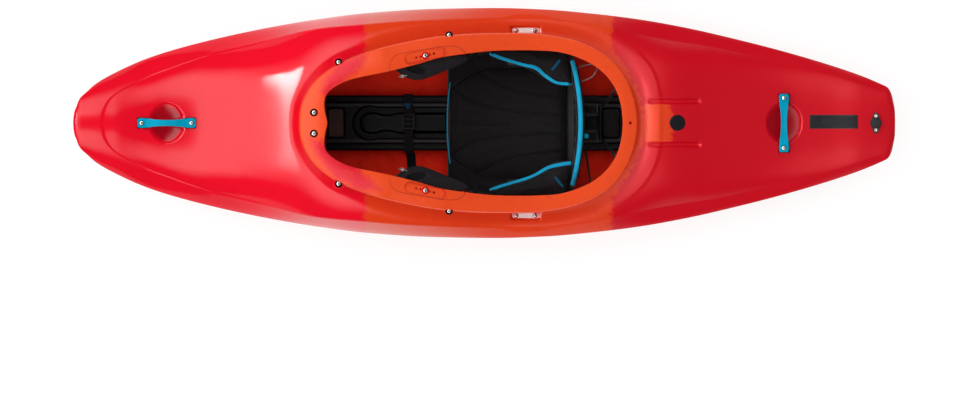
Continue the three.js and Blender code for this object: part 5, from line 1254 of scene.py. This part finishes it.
def add_handle(name, centre, across, ends):
    """A handle round a place on the middle line, along the boat or across it."""
    def to_world(p, q):
        return (centre - q, p) if across else (centre + p, q)

    def line(p):
        return (feet[0] + feet[1]) / 2 + (feet[1] - feet[0]) * p / (2 * SCREW_OUT)

    feet = [max(deck_at(*to_world(p, q)) for q in (-HANDLE_WIDE, HANDLE_WIDE)) + 3
            for p in (-SCREW_OUT, SCREW_OUT)]
    shares = [np.linspace(-1, -0.86, 7), np.linspace(-0.84, 0.84, 61), np.linspace(0.86, 1, 7)]
    rings = []
    for share in np.concatenate(shares):
        p = share * HANDLE_HALF
        low = line(p) + 0.3 + HANDLE_RISE * float(along(LIFT, abs(share)))
        half = HANDLE_WIDE * float(along(WAIST, abs(share)))
        middle = 1 - smoothstep(0.5, 0.8, abs(share))
        flat = np.array([[half - 0.8, 0], [half, 0.9], [half, 4.9], [half - 0.5, 6.1], [half - 1.6, 6.8],
                         [half * 0.55, HANDLE_THICK - 0.9 * middle], [0, HANDLE_THICK - 1.5 * middle]])
        ring = np.vstack([flat, flat[:-1][::-1] * [-1, 1]])
        rings.append([[*to_world(p, q), low + z] for q, z in ring])
    bar = loft(f"{name}_bar", rings, MATERIALS["blue_metal"])
    for sign, end in zip((-1, 1), ends):
        p = SCREW_OUT * sign
        x, y = to_world(p, 0)
        seat = line(p) + 0.3 + HANDLE_THICK - 1.5
        cut(bar, circle_outline(7), 0, 9, at(x, y, seat))
        cut(bar, circle_outline(3.6), -19, 9, at(x, y, seat))
        bolt(f"{name}_screw_set_{end}", f"{name}_screw_{end}", at(x, y, seat + 0.4), 5.4, 3.2, (2.4, 1.2),
             shank=(-18, 0.6), under=[[5.6, -0.3], [6.8, -0.3], [6.8, 0.3], [5.6, 0.3]])
    auto_smooth(bar, 40)
    piece(bar, "hull", "blue_metal", name)


add_handle("bow_handle", BOW_HANDLE_X, False, ("front", "rear"))
add_handle("stern_handle", STERN_HANDLE_X, True, ("left", "right"))
SHEET_THICK = 0.7
SHEET_ROWS = 10


def on_deck(name, outline):
    """A thin black sheet that hugs the deck, cut to an outline round its centre."""
    centre = outline.mean(axis=0)
    layers = []
    for share in np.linspace(0, 1, SHEET_ROWS):
        flat = centre + (outline - centre) * share
        layers.append([[x, y, top_of(DECK_TREE, x, y)] for x, y in flat])
    layers = np.array(layers)
    n = len(outline)
    high = layers + [0, 0, SHEET_THICK]
    high[-1, :, 2] -= SHEET_THICK * 0.6
    low = layers[-1] - [0, 0, 0.5]
    points = np.vstack([high[:1].mean(axis=1), high[1:].reshape(-1, 3), low, low.mean(axis=0)[None]])
    last = len(points) - 1
    start = last - n
    faces = (grid_faces(SHEET_ROWS, n, wrap_columns=True) + 1).tolist()
    for k in range(n):
        faces += [[0, 1 + k, 1 + (k + 1) % n], [last, start + (k + 1) % n, start + k]]
    obj = mesh_object(name, points, faces, MATERIALS["label_black"])
    outward(obj)
    auto_smooth(obj, 50)
    piece(obj, "hull", "black_plastic")


DISC_SPOT, PLATE_SPOT = (677.5, 122.8), (833.8, 121.8)
on_deck("plain_disc", circle_outline(22, 48) + spots(DISC_SPOT))
corner = np.array([[67, 18], [66, 19.2], [-66, 19.2], [-67, 18], [-67, -18], [-66, -19.2], [66, -19.2],
                   [67, -18]])
edge = np.vstack([np.linspace(a, b, 8, endpoint=False) for a, b in zip(corner, np.roll(corner, -1, 0))])
on_deck("plain_plate", edge + spots(PLATE_SPOT))


# Inside the hull: the floor beam, with its keyhole channel, ridges and trays.
BEAM_FRONT, BEAM_REAR, BEAM_TOP = -438.5, 375.5, 62.0
KEYHOLE_X = -317


def dip(distance, deep, edge):
    """Depth of a pressed shape: full inside it, none outside, and soft over its edge."""
    return deep * smoothstep(-edge / 2, edge / 2, distance)


def box_distance(x, y, centre, half, corner=6.0):
    u, v = np.abs(x - centre[0]) - half[0] + corner, np.abs(y - centre[1]) - half[1] + corner
    return corner - np.hypot(np.maximum(u, 0), np.maximum(v, 0)) - np.minimum(np.maximum(u, v), 0)


def beam_material():
    """Black moulded plastic, duller and darker in its sunk places as painted shade, and paler along its
    ridges as a painted highlight.
    """
    s = Shader("beam_plastic")
    base = s.mix(s.patches(0.3, 0.7, 50), srgb(12, 11, 12), srgb(18, 16, 17))
    # Painted shade: the sunk places are darkened to near black.
    base = s.mix(s.between(s.kept("deep"), 0.1, 0.8), base, srgb(1, 1, 1))
    # Painted highlight: pale grey along the ridges.
    base = s.mix(s.kept("line") * 0.5, base, srgb(66, 62, 66))
    s.finish(base, s.noise(90, 4) * 0.2 + 0.22, s.bump(s.noise(800, 2), 0.04, 0.0003), 0.12)


# The beam's top, as heights over a grid. Each tray is given by its centre and half of its sides.
FRONT_TRAY, MIDDLE_TRAY, REAR_TRAY = ((-410.5, 0), (23, 41)), ((-153, 1), (45, 24)), ((348, 0), (23.5, 41))
RIDGE_Y = 51
xs = np.linspace(BEAM_FRONT, BEAM_REAR, 420)
ys = np.concatenate([[-76.4, -76.1, -75.2], np.linspace(-74, 74, 121), [75.2, 76.1, 76.4]])
gx, gy = np.meshgrid(xs, ys, indexing="ij")
height = np.full(gx.shape, BEAM_TOP - 0.4)
height -= np.interp(np.abs(gy), [73, 75, 76.2, 76.4], [0, 1.0, 3.2, 5])
ridge = np.exp(-((np.abs(gy) - RIDGE_Y) / 3.2) ** 2)
height += 0.4 * ridge
height -= dip(box_distance(gx, np.abs(gy), (0, 64), (2000, 7.5), 3), 6.0, 4)
from_hole = np.hypot(gx - KEYHOLE_X, gy)
neck_gap = np.minimum(43 - np.abs(gy), np.minimum(gx - KEYHOLE_X, -95 - gx))
neck = np.interp(gx, [-300, -285, -262, -240], [27, 21, 21, 27])
plateau = np.maximum(27 - from_hole, np.minimum(neck - np.abs(gy), gx - KEYHOLE_X))
on_plateau = smoothstep(-2, 3, plateau)
height -= dip(np.maximum(47 - from_hole, neck_gap), 17, 5) * (1 - on_plateau * 0.62)
height += on_plateau * 1.2 * np.exp(-((plateau - 3) / 2.5) ** 2)
height -= dip(box_distance(gx, gy, *FRONT_TRAY), 12, 4)
height -= dip(box_distance(gx, gy, *MIDDLE_TRAY, 5), 7, 4) * smoothstep(-199, -196, gx)
height -= dip(box_distance(gx, gy, *REAR_TRAY), 13, 4)
frame_line = box_distance(gx, gy, REAR_TRAY[0], (36, RIDGE_Y), 8)
height += 1.6 * np.exp(-(frame_line / 2.5) ** 2)
under_beam = np.array([floor_at(x, 60) + 0.6 for x in xs])
low = np.repeat(under_beam[:, None], len(ys), axis=1)
n_x, n_y = gx.shape
total = n_x * n_y
layers = [np.stack([gx, gy, z], axis=-1).reshape(-1, 3) for z in (height, low)]
top_faces = grid_faces(n_x, n_y)
around = ([i * n_y for i in range(n_x)] + [(n_x - 1) * n_y + j for j in range(1, n_y)]
          + [i * n_y + n_y - 1 for i in range(n_x - 2, -1, -1)] + [j for j in range(n_y - 2, 0, -1)])
walls = [[a, b, b + total, a + total] for a, b in zip(around, around[1:] + around[:1])]
beam_material()
beam = mesh_object("beam", np.vstack(layers), list(top_faces) + list((top_faces + total)[:, ::-1]) + walls,
                   MATERIALS["beam_plastic"])
outward(beam)
auto_smooth(beam, 50)
# deep darkens the sunk places with painted shade, and line paints a highlight along the ridges.
deep = np.clip((BEAM_TOP - height) / 12, 0, 1).ravel()
keep_values(beam, deep=np.concatenate([deep, np.ones(total)]),
            line=np.concatenate([ridge.ravel(), np.zeros(total)]))
piece(beam, "hull", "black_foam", "floor_beam")


def tile(name, x, half_x, half_y, z, material):
    """A flat plate with rounded corners, a little smaller at its top."""
    outline = circle_outline(1.0, 64)
    outline = np.sign(outline) * np.abs(outline) ** 0.12
    rings = []
    for inset, height in ((0, 0), (0, 2.2), (1.0, 3.0)):
        rings.append(lifted(outline * [half_x - inset, half_y - inset], height) + [x, 0, z])
    return loft(name, rings, MATERIALS[material], 30)


piece(tile("tray_plate", -411, 20.5, 38, 49.8, "plate_grey"), "hull", "black_plastic")
piece(tile("rear_tile", 348, 21, 38, 48.8, "black_foam"), "hull", "black_foam")

# The strap over the beam: up one side, over, down the other side and out along the floor.
STRAP_X = -211
strap_path = [[STRAP_X, y, z] for y, z in ((79, 34), (78.6, 52), (77.8, 61), (74, 63.6), (40, 64), (0, 64.2),
                                           (-40, 64), (-74, 63.6))]
strap_path += [[-210, -78.2, 60], [-209, -79, 48], [-208, -80, 30], [-206, -84, 14], [-204, -96, 9.2]]
for y in (-112, -126, -138):
    strap_path.append([-204 + (y + 96) * -0.08, y, floor_at(-200, y) + 2.2])
strap = tube("floor_strap", smooth_path(strap_path, 6), tape(25, 2.2), MATERIALS["webbing"], (1, 0, 0))
piece(strap, "hull", "webbing", "beam_strap")
tail_path = [[STRAP_X, 34, 67.2], [-212, 48, 67.6], [-214, 60, 66.6], [-217, 70, 66.4]]
tail = tube("strap_tail", smooth_path(tail_path, 6), tape(22, 1.8), MATERIALS["webbing"], (1, 0, 0))
piece(tail, "hull", "webbing")

# The ladder buckle and the knotted cord on the strap.
bars = [([[-226, y, 67.6], [STRAP_X, y, 68.2], [-196, y, 67.6]], 1.9) for y in (-15, -2, 11, 24)]
bars += [([[x, -16.5, 67.6], [x, 4, 68], [x, 25.5, 67.6]], 2.3) for x in (-226, -196)]
buckle = [tube("bar", line, circle_outline(radius, 10), MATERIALS["black_plastic"]) for line, radius in bars]
piece(joined("strap_buckle", buckle), "hull", "black_plastic")
knot = []
for a in np.linspace(0, 2 * np.pi, 90, endpoint=False):
    knot.append([-213 + 6 * math.sin(a) + 2.5 * math.sin(2 * a),
                 49 + 5.5 * math.cos(a) - 2.5 * math.cos(2 * a), 68.6 + 2.2 * math.sin(3 * a)])
piece(tube("strap_knot", knot, circle_outline(2.4, 10), MATERIALS["dark_blue"]), "hull", "webbing")

# Foam walls under the decks. Their tops follow the underside of the deck, and end under the trough.
FOAM_HALF = 29.5
TROUGH_REAR_X = 445
for name, x0, x1 in (("bow_pillar", -1009.5, -728.5), ("stern_pillar", 400.5, 979.5)):
    rings = []
    for x in np.linspace(x0, x1, 90):
        high = min(top_of(DECK_TREE, x, y) for y in (-FOAM_HALF, -15, 0, 15, FOAM_HALF)) - WALL - 1.2
        if 0 < x < TROUGH_REAR_X:
            high = min(high, deck_at(x, 0) - TROUGH_DEEP - WALL - 3)
        low = max(floor_at(x, 0), floor_at(x, FOAM_HALF)) + 0.6
        ring = [[29.2, low], [FOAM_HALF, low + 2], [FOAM_HALF, high - 3], [28.6, high - 0.9], [26.5, high]]
        ring += [[-y, z] for y, z in ring[::-1]]
        rings.append([[x, y, z] for y, z in ring])
    wall = loft(f"{name}_foam", rings, MATERIALS["black_foam"], 40)
    piece(wall, "hull", "black_foam", name)

# The footrest's foam: a rounded block with pressed squares.
foam = node_copy("footrest_foam", "footrest_block", MATERIALS["black_foam"])
remesh(foam, 4, 6)
xyz = coords(foam)
cell_y, cell_z = (np.abs((xyz[:, k] / 24) % 1 - 0.5) for k in (1, 2))
face = smoothstep(-615, -610.5, xyz[:, 0])
groove = np.maximum(smoothstep(0.42, 0.47, cell_y), smoothstep(0.42, 0.47, cell_z))
xyz[:, 0] -= 2.5 * groove * face
set_coords(foam, xyz)
piece(foam, "footrest", "black_foam", "footrest_foam")


# The seat. The cushion and the side pads are covers blown up as cloth.
def normals_of(obj):
    """Outward directions at the points of a mesh."""
    out = np.empty(len(obj.data.vertices) * 3)
    obj.data.vertex_normals.foreach_get("vector", out)
    return out.reshape(-1, 3)


def nearest_line(xy, lines):
    """Distance to the nearest of several open lines."""
    best = np.full(len(xy), 99.0)
    for line in lines:
        d = line_distance(xy, line)
        best = np.where(np.abs(d) < np.abs(best), d, best)
    return best


def blown(node, name, size, smooth_steps, shrink, cap):
    """A CAD node's shape as a cover, made a little smaller and blown up as cloth."""
    pad = node_copy(node, name, MATERIALS["seat_fabric"])
    remesh(pad, size, smooth_steps)
    xyz = coords(pad)
    middle = (xyz.min(axis=0) + xyz.max(axis=0)) / 2
    set_coords(pad, middle + (xyz - middle) * shrink)
    inflate(pad, cap)
    subdivide(pad)
    return pad, coords(pad)


def calmed(path):
    """A path whose heights are each the mean of seven."""
    path = np.array(path)
    path[:, 2] = np.convolve(np.pad(path[:, 2], 3, mode="edge"), np.ones(7) / 7, "valid")
    return path


SEAT_HALF = 211
SEAT_WIDE = [[0, 0.72], [0.22, 0.94], [0.4, 1], [1, 1]]
SEAT_WALL = [[0, 0.12], [0.2, 0.2], [0.33, 0.75], [0.45, 1], [1, 1]]
CUSHION_RISE = [[0, 0.15], [0.03, 0.6], [0.12, 1], [0.5, 0.8], [0.85, 0.85], [0.97, 0.6], [1, 0.2]]
CUSHION_FRONT, CUSHION_LONG, CUSHION_LOW = -102, 334, 69
rings = []
for share in np.linspace(0, 1, 60):
    x = CUSHION_FRONT + share * CUSHION_LONG
    half = SEAT_HALF * float(along(SEAT_WIDE, share)) - 52
    rise = float(along(CUSHION_RISE, share))
    across = np.linspace(-1, 1, 60)
    ring = [[x, u * half, CUSHION_LOW + 8 + rise * (4 + 7.5 * (1 - u * u))] for u in across]
    ring += [[x, u * (half - 1), CUSHION_LOW] for u in across[::-1]]
    rings.append(ring)
cushion = loft("seat_cover", rings, MATERIALS["seat_fabric"])
remesh(cushion, 5, 4)
inflate(cushion, 5)
subdivide(cushion)
grooves = [smooth_path(spots(*line), 5) for line in (
    ((464, 60), (474, 66), (490, 78), (510, 88), (540, 95), (571, 98)),
    ((448, 83), (464, 96), (484, 105), (510, 110), (550, 114.4), (571, 116.4)),
    ((450, 121), (480, 123), (508, 123.6)),
    ((450, 158), (462, 148), (480, 140), (510, 136), (550, 133.6), (571, 132.4)),
    ((460, 185), (468, 181), (480, 172), (500, 162), (530, 155), (571, 150.4)))]
xyz = coords(cushion)
d = nearest_line(xyz[:, :2], grooves)
top_share = smoothstep(74, 80, xyz[:, 2])
line_gap = np.abs(np.abs(d) - 2.8)
xyz[:, 2] -= (0.9 * np.exp(-(d / 6) ** 2) + 0.8 * np.exp(-(line_gap / 1.6) ** 2)) * top_share
xyz[:, 2] = np.clip(xyz[:, 2], 67.2, 97)
set_coords(cushion, xyz)
keep_values(cushion, channel=np.where(xyz[:, 2] > 74, d, 99))
piece(cushion, "seat", "black_fabric", "seat_cushion")

PAN_FRONT, PAN_LONG, PAN_FLOOR = -104, 350, 62.3


def cover_on_pan(name, sign):
    """Cloth that lines the low front corner of the pan, from the cushion up over its rim."""
    rings = []
    for share in np.linspace(0.012, 0.475, 42):
        x = PAN_FRONT + share * PAN_LONG
        wide = SEAT_HALF * float(along(SEAT_WIDE, share))
        top = PAN_FLOOR + max(15.0, 150 * float(along(SEAT_WALL, share)))
        corner = min(45, top - PAN_FLOOR - 2) - 4
        inner = [[wide - 56, PAN_FLOOR + 5.1]]
        for a in np.linspace(0, math.pi / 2, 9):
            inner.append([wide - 5.2 - corner * (1 - math.sin(a)),
                          PAN_FLOOR + 4.6 + corner * (1 - math.cos(a))])
        inner = np.array(inner + [[wide - 5.2, top - 6]])
        inner[:, 1] = np.maximum.accumulate(inner[:, 1])
        run = np.gradient(inner, axis=0)
        run /= np.maximum(np.linalg.norm(run, axis=1), 1e-6)[:, None]
        outer = inner + np.stack([-run[:, 1], run[:, 0]], axis=1) * 6.2
        hood = [[-8.6, 1.2], [-6.5, 3.6], [-2, 4.2], [1.6, 3.2], [2.6, 0.6], [2.6, -5], [0.7, -5], [0.7, 0.7],
                [-4.9, 0.7]]
        ring = np.vstack([outer, np.array(hood) + [wide, top], inner[::-1]])
        rings.append([[x, sign * y, z] for y, z in ring])
    obj = loft(name, rings, MATERIALS["seat_fabric"], smooth_degrees=60)
    xyz = coords(obj)
    folds = 0.8 * np.sin(xyz[:, 0] / 9.0 + xyz[:, 2] / 17.0) * np.sin(xyz[:, 0] / 23.0)
    xyz[:, 2] += folds * smoothstep(66, 90, xyz[:, 2]) * 0.5
    set_coords(obj, xyz)
    keep_values(obj, channel=np.full(len(xyz), 99.0))
    piece(obj, "seat", "black_fabric")


cover_on_pan("seat_wing_left", -1)
cover_on_pan("seat_wing_right", 1)
front_pipe = [[-104.5 + 0.0007 * y * y, y, 84.5 - 0.0003 * y * y] for y in np.linspace(-112, 112, 40)]
pipe = tube("seat_front_piping", front_pipe, circle_outline(1.4, 14) * [1, 1.6], MATERIALS["blue_fabric"])
piece(pipe, "seat", "black_fabric")

PIPING = {"right": ((490, 53), (502, 58), (522, 64), (536, 68), (546, 76), (556, 82), (566, 83.5),
                    (573, 83.6)),
          "left": ((483, 196), (494, 189), (520, 181), (534, 176), (548, 168), (560, 164.7), (571, 163))}
TABS = {"right": ((552, 70), (560, 60)), "left": ((555, 177), (563, 187))}
PAD_MIDDLE, PAD_LOW = 140, 120
for side, _ in SIDES:
    pad, xyz = blown(f"hip_pad_{side}", f"side_pad_{side}", 5, 5, [0.97, 0.94, 0.975], 5)
    lo, hi = (np.array(v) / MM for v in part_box(f"hip_pad_{side}"))
    xyz = np.clip(xyz, lo - [3, 0.3, 0.3], hi + [1, 0.3, 4])
    set_coords(pad, xyz)
    from_middle = xyz[:, 2] - PAD_MIDDLE
    keep_values(pad, channel=np.where(np.abs(from_middle) < 70, from_middle, 99))
    piece(pad, "seat", "black_fabric", f"hip_pad_{side}")
    tree = tree_of(pad)
    line = [[x, y, top_of(tree, x, y, -1) + 2.0] for x, y in smooth_path(spots(*PIPING[side]), 8)]
    line = calmed([p for p in line if p[2] > PAD_LOW + 2])
    outline = circle_outline(5.4, 14) * [1, 0.62]
    piece(tube(f"side_pad_piping_{side}", line, outline, MATERIALS["blue_fabric"]), "seat", "blue_fabric")
    tab = [[x, y, top_of(tree, x, y, -1) + 0.6] for x, y in np.linspace(*spots(*TABS[side]), 8)]
    if min(p[2] for p in tab) > PAD_LOW:
        tab = tube(f"side_pad_tab_{side}", tab, circle_outline(3.4, 12) * [1, 0.5], MATERIALS["dark_blue"])
        piece(tab, "seat", "blue_fabric")


# The backband: a padded panel with blue binding on its top edge, and a smooth black shell behind it.
def band_x(y):
    """Place of the backband's front face, which is bent."""
    return 264 - 24 * (y / 178) ** 2


band_pad, xyz = blown("backband", "back_pad", 4, 4, [0.98, 0.985, 0.985], 3.5)
SEAMS = [((-140, 252), (140, 252)), ((-140, 160), (140, 160)), ((-58, 160), (-58, 252)),
         ((58, 160), (58, 252))]
d = nearest_line(xyz[:, [1, 2]], np.array(SEAMS, float))
front_share = smoothstep(0, 5, band_x(xyz[:, 1]) - xyz[:, 0])
xyz[:, 0] += 1.6 * np.exp(-(d / 5) ** 2) * front_share
set_coords(band_pad, xyz)
keep_values(band_pad, channel=np.where(front_share > 0.3, d, 99))
piece(band_pad, "backband", "black_fabric", "backband", "backband_webbing")

BACK_TREE = tree_of(band_pad)
edge_path = [[band_x(y), y, top_of(BACK_TREE, band_x(y), y, -1)] for y in np.linspace(-171, 171, 90)]
edge_path = calmed([p for p in edge_path if p[2] > 100])
half = np.array([[6.2, -9], [6.6, -3], [5.6, 1.2], [3.0, 3.2]])
binding_outline = np.vstack([half, [0, 3.9], half[::-1] * [-1, 1]])
binding = tube("back_binding", edge_path, binding_outline, MATERIALS["blue_fabric"])
piece(binding, "backband", "blue_fabric", "backband_binding")
rings = []
for y in np.linspace(-150, 150, 60):
    x = band_x(y) + 8.5
    tall = 34 * (1 - 0.35 * (y / 150) ** 4)
    z = float(np.interp(y, edge_path[:, 1], edge_path[:, 2])) - 18
    ring = [[0.2, z - tall], [2.2, z - tall + 1], [2.8, z - tall / 2], [2.4, z - 1], [0.2, z]]
    rings.append([[x + dx, y, h] for dx, h in ring])
piece(loft("back_shell", rings, MATERIALS["glossy_black"], 40), "backband", "black_plastic")

strap_line = smooth_path([[277, -70, 216], [282, -105, 212], [287, -140, 204], [290, -172, 192],
                          [284, -200, 178], [262, -215, 164], [240, -216, 152]], 8)
strap = tube("back_strap", strap_line, tape(20, 1.8), MATERIALS["webbing"], across=(0.25, -0.1, 1))
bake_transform(strap)
lock_profile = [[0, 206], [5, 206], [7, 208], [7, 216], [6, 220], [7, 224], [7, 232], [5, 234], [0, 234]]
lock = lathe("cord_lock", lock_profile, MATERIALS["blue_metal"], at(279.5, -36, 0))
piece(lock, "backband", "blue_metal")
loop_line = smooth_path([[261, 112, 224], [278, 119, 227], [296, 128, 229], [306, 142, 228], [309, 154, 222],
                         [300, 162, 214], [280, 160, 207], [255, 152, 204]], 8)
loop = tube("cable_loop", loop_line, circle_outline(1.8, 10), MATERIALS["cable_grey"])
piece(loop, "backband", "black_plastic")

# Thigh braces: moulded wings with a sunk oval, given by its middle, its turn and half its sides.
OVAL_X, OVAL_Y, OVAL_TURN, OVAL_LONG, OVAL_WIDE, OVAL_DEEP = -188, 148, -13, 30, 11, 3.0
for side, sign in SIDES:
    body = f"brace_{side}"
    wing = node_copy(f"thigh_brace_{side}", f"brace_wing_{side}", MATERIALS["brace_plastic"])
    remesh(wing, 2.2, 6)
    xyz = coords(wing)
    out = normals_of(wing)
    xyz -= out * 0.6
    up_share = smoothstep(0.4, 0.8, out[:, 2])
    turn = math.radians(OVAL_TURN * sign)
    x, y = xyz[:, 0] - OVAL_X, xyz[:, 1] - sign * OVAL_Y
    u, v = x * math.cos(turn) + y * math.sin(turn), y * math.cos(turn) - x * math.sin(turn)
    oval = np.hypot(u / OVAL_LONG, v / OVAL_WIDE)
    xyz[:, 2] -= OVAL_DEEP * smoothstep(1.08, 0.8, oval) * up_share
    set_coords(wing, xyz)
    # The sunk share darkens the oval with painted shade.
    keep_values(wing, sunk=smoothstep(1.12, 0.9, oval) * up_share)
    piece(wing, body, "black_plastic", f"thigh_brace_{side}")
    pad = node_copy(f"thigh_brace_pad_{side}", f"brace_pad_{side}", MATERIALS["black_foam"])
    remesh(pad, 3, 4)
    piece(pad, body, "black_foam", f"thigh_brace_pad_{side}")


# The cords that hold the beam to the rear of the rim, two on each side, with a knot under the rim.
CORD_RADIUS = 1.9
CORD_FOOT = 322, 43, 57.5
CORD_HEAD_X, CORD_HEAD_Y = 366, 98
for side, sign in SIDES:
    foot = np.array(CORD_FOOT) * [1, sign, 1]
    head = np.array([CORD_HEAD_X, CORD_HEAD_Y * sign, float(rim_at(CORD_HEAD_X)) - 5])
    for k, spread_by in enumerate((-1, 1)):
        apart = np.array([0, 3.2 * spread_by, 0])
        path = [foot + (head - foot) * t + apart * (0.5 + 0.6 * t) for t in np.linspace(0, 1, 17)]
        cord = tube(f"rear_cord_{side}_{k + 1}", path, circle_outline(CORD_RADIUS, 10), MATERIALS["webbing"])
        piece(cord, "hull", "webbing", f"rear_cord_{side}")
        metres = [tuple(p * MM) for p in path]
        length = sum(math.dist(a, b) for a, b in zip(metres, metres[1:]))
    turns = []
    for a in np.linspace(0, 2 * np.pi, 60, endpoint=False):
        turns.append(head + [6.5 * math.sin(a) + 2 * math.sin(2 * a), 6.5 * math.cos(a),
                             3.0 * math.sin(3 * a) - 9])
    knot = tube(f"rear_cord_knot_{side}", turns, circle_outline(2.6, 10), MATERIALS["webbing"])
    piece(knot, "hull", "webbing")

# CAD parts that keep their shape, each with its material and the width of its softened edges.
KEPT = {"drain_housing": ("black_plastic", 0.6), "drain_seal": ("rubber", 0.3),
        "drain_plug": ("black_plastic", 0.5), "footrest_plate": ("black_plastic", 1),
        "seat_pan": ("black_plastic", 1.2), "backband_pin": ("steel", 0.4),
        "bow_handle_pad_front": ("rubber", 0.6), "bow_handle_pad_rear": ("rubber", 0.6)}
for side, _ in SIDES:
    KEPT.update({f"stern_handle_pad_{side}": ("rubber", 0.6), f"drain_screw_{side}": ("steel", 0.4),
                 f"brace_wing_screw_{side}": ("steel", 0.5), f"seat_bracket_{side}": ("aluminium", 0.5),
                 f"footrest_rail_{side}": ("aluminium", 0.5),
                 f"rail_bracket_{side}": ("black_plastic", 0.8)})
for name, (material, bevel) in KEPT.items():
    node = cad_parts[name]
    node.data.materials.clear()
    node.data.materials.append(MATERIALS[material])
    m = node.modifiers.new("edges", "BEVEL")
    m.width = bevel * MM
    m.segments = 2
    m.limit_method = "ANGLE"
    m.angle_limit = math.radians(40)
    m.harden_normals = True


# The floor is lit by the lamps and takes shadows, and is near white where it is seen or mirrored.
FLOOR_HALF = 6000
floor = mesh_object("floor", lifted(FLOOR_HALF * np.array([[-1, -1], [1, -1], [1, 1], [-1, 1]]), -2),
                    [[0, 1, 2, 3]], smooth=False)
s = Shader("floor")
rays = s.node("ShaderNodeLightPath").outputs
seen = s.math("MAXIMUM", s.math("MAXIMUM", rays["Is Camera Ray"], rays["Is Glossy Ray"]),
              rays["Is Transmission Ray"])
dull = s.node("ShaderNodeBsdfDiffuse", {"Color": (0.8, 0.8, 0.8, 1)})
pale = s.node("ShaderNodeBsdfDiffuse", {"Color": (0.28, 0.28, 0.28, 1)})
glow = s.node("ShaderNodeEmission", {"Color": (1, 1, 1, 1), "Strength": 0.8})
lit = s.node("ShaderNodeAddShader", {0: glow.outputs[0], 1: pale.outputs[0]})
both = s.node("ShaderNodeMixShader", {0: seen, 1: dull.outputs[0], 2: lit.outputs[0]})
s.node("ShaderNodeOutputMaterial", {0: both.outputs[0]})
floor.data.materials.append(s.owner)

# The sky is even where it lights dull surfaces, with more light from the bow's side. Where a glossy
# surface mirrors it, it is dark but for a soft light in front of the bow and a bright panel in that.
world = bpy.data.worlds.new("world")
scene.world = world
world.cycles.sampling_method = "NONE"
s = Shader("world", world)
x_axis, y_axis, z_axis = s.axes(s.node("ShaderNodeTexCoord").outputs["Generated"])
forward = x_axis * -1.0
turn = s.math("ARCTAN2", y_axis, forward)
even = s.between(forward, -0.4, 0.9) * 0.75 + s.between(z_axis, 0.3, 0.95) * 0.5 + 0.3
tall = s.between(z_axis, 0.38, 0.74) * (1.0 - s.between(z_axis, 0.92, 1.0))
front = s.beside(turn, 1.2, 2.2) * tall * 5.6
arch = z_axis + turn * turn * 0.38
panel = s.between(z_axis, 0.57, 0.576) * (1.0 - s.between(arch, 0.7, 0.707))
sides = s.between(turn, -0.55, -0.25) * (1.0 - s.between(turn, 0.5, 0.54))
fading = s.math("EXPONENT", (turn - 0.4) * 2.2)
mirrored = front + panel * sides * (fading * 60.0) + 0.1
rays = s.node("ShaderNodeLightPath").outputs
glossy = Value(s, rays["Is Glossy Ray"])
seen = Value(s, rays["Is Camera Ray"])
light = mirrored * glossy + even * (1.0 - glossy)
sky = s.node("ShaderNodeBackground", {"Color": (1, 1, 1, 1), "Strength": light * (1.0 - seen) + seen})
s.node("ShaderNodeOutputWorld", {0: sky.outputs[0]})


def lamp(name, place, target, size, power):
    """A soft lamp that lights dull surfaces and isn't mirrored."""
    data = bpy.data.lights.new(name, "AREA")
    data.shape = "RECTANGLE"
    data.size, data.size_y = size
    data.energy = power
    obj = bpy.data.objects.new(name, data)
    obj.location = place
    obj.rotation_euler = (Vector(target) - Vector(place)).to_track_quat("-Z", "Y").to_euler()
    obj.visible_glossy = False
    scene.collection.objects.link(obj)


lamp("key", (-2.6, 0.9, 3.4), (-0.2, 0, 0.2), (2.0, 1.6), 22)
for y in (-3.2, 3.2):
    lamp("side", (0.3, y, 1.0), (0.1, 0, 0.15), (2.2, 0.6), 11)
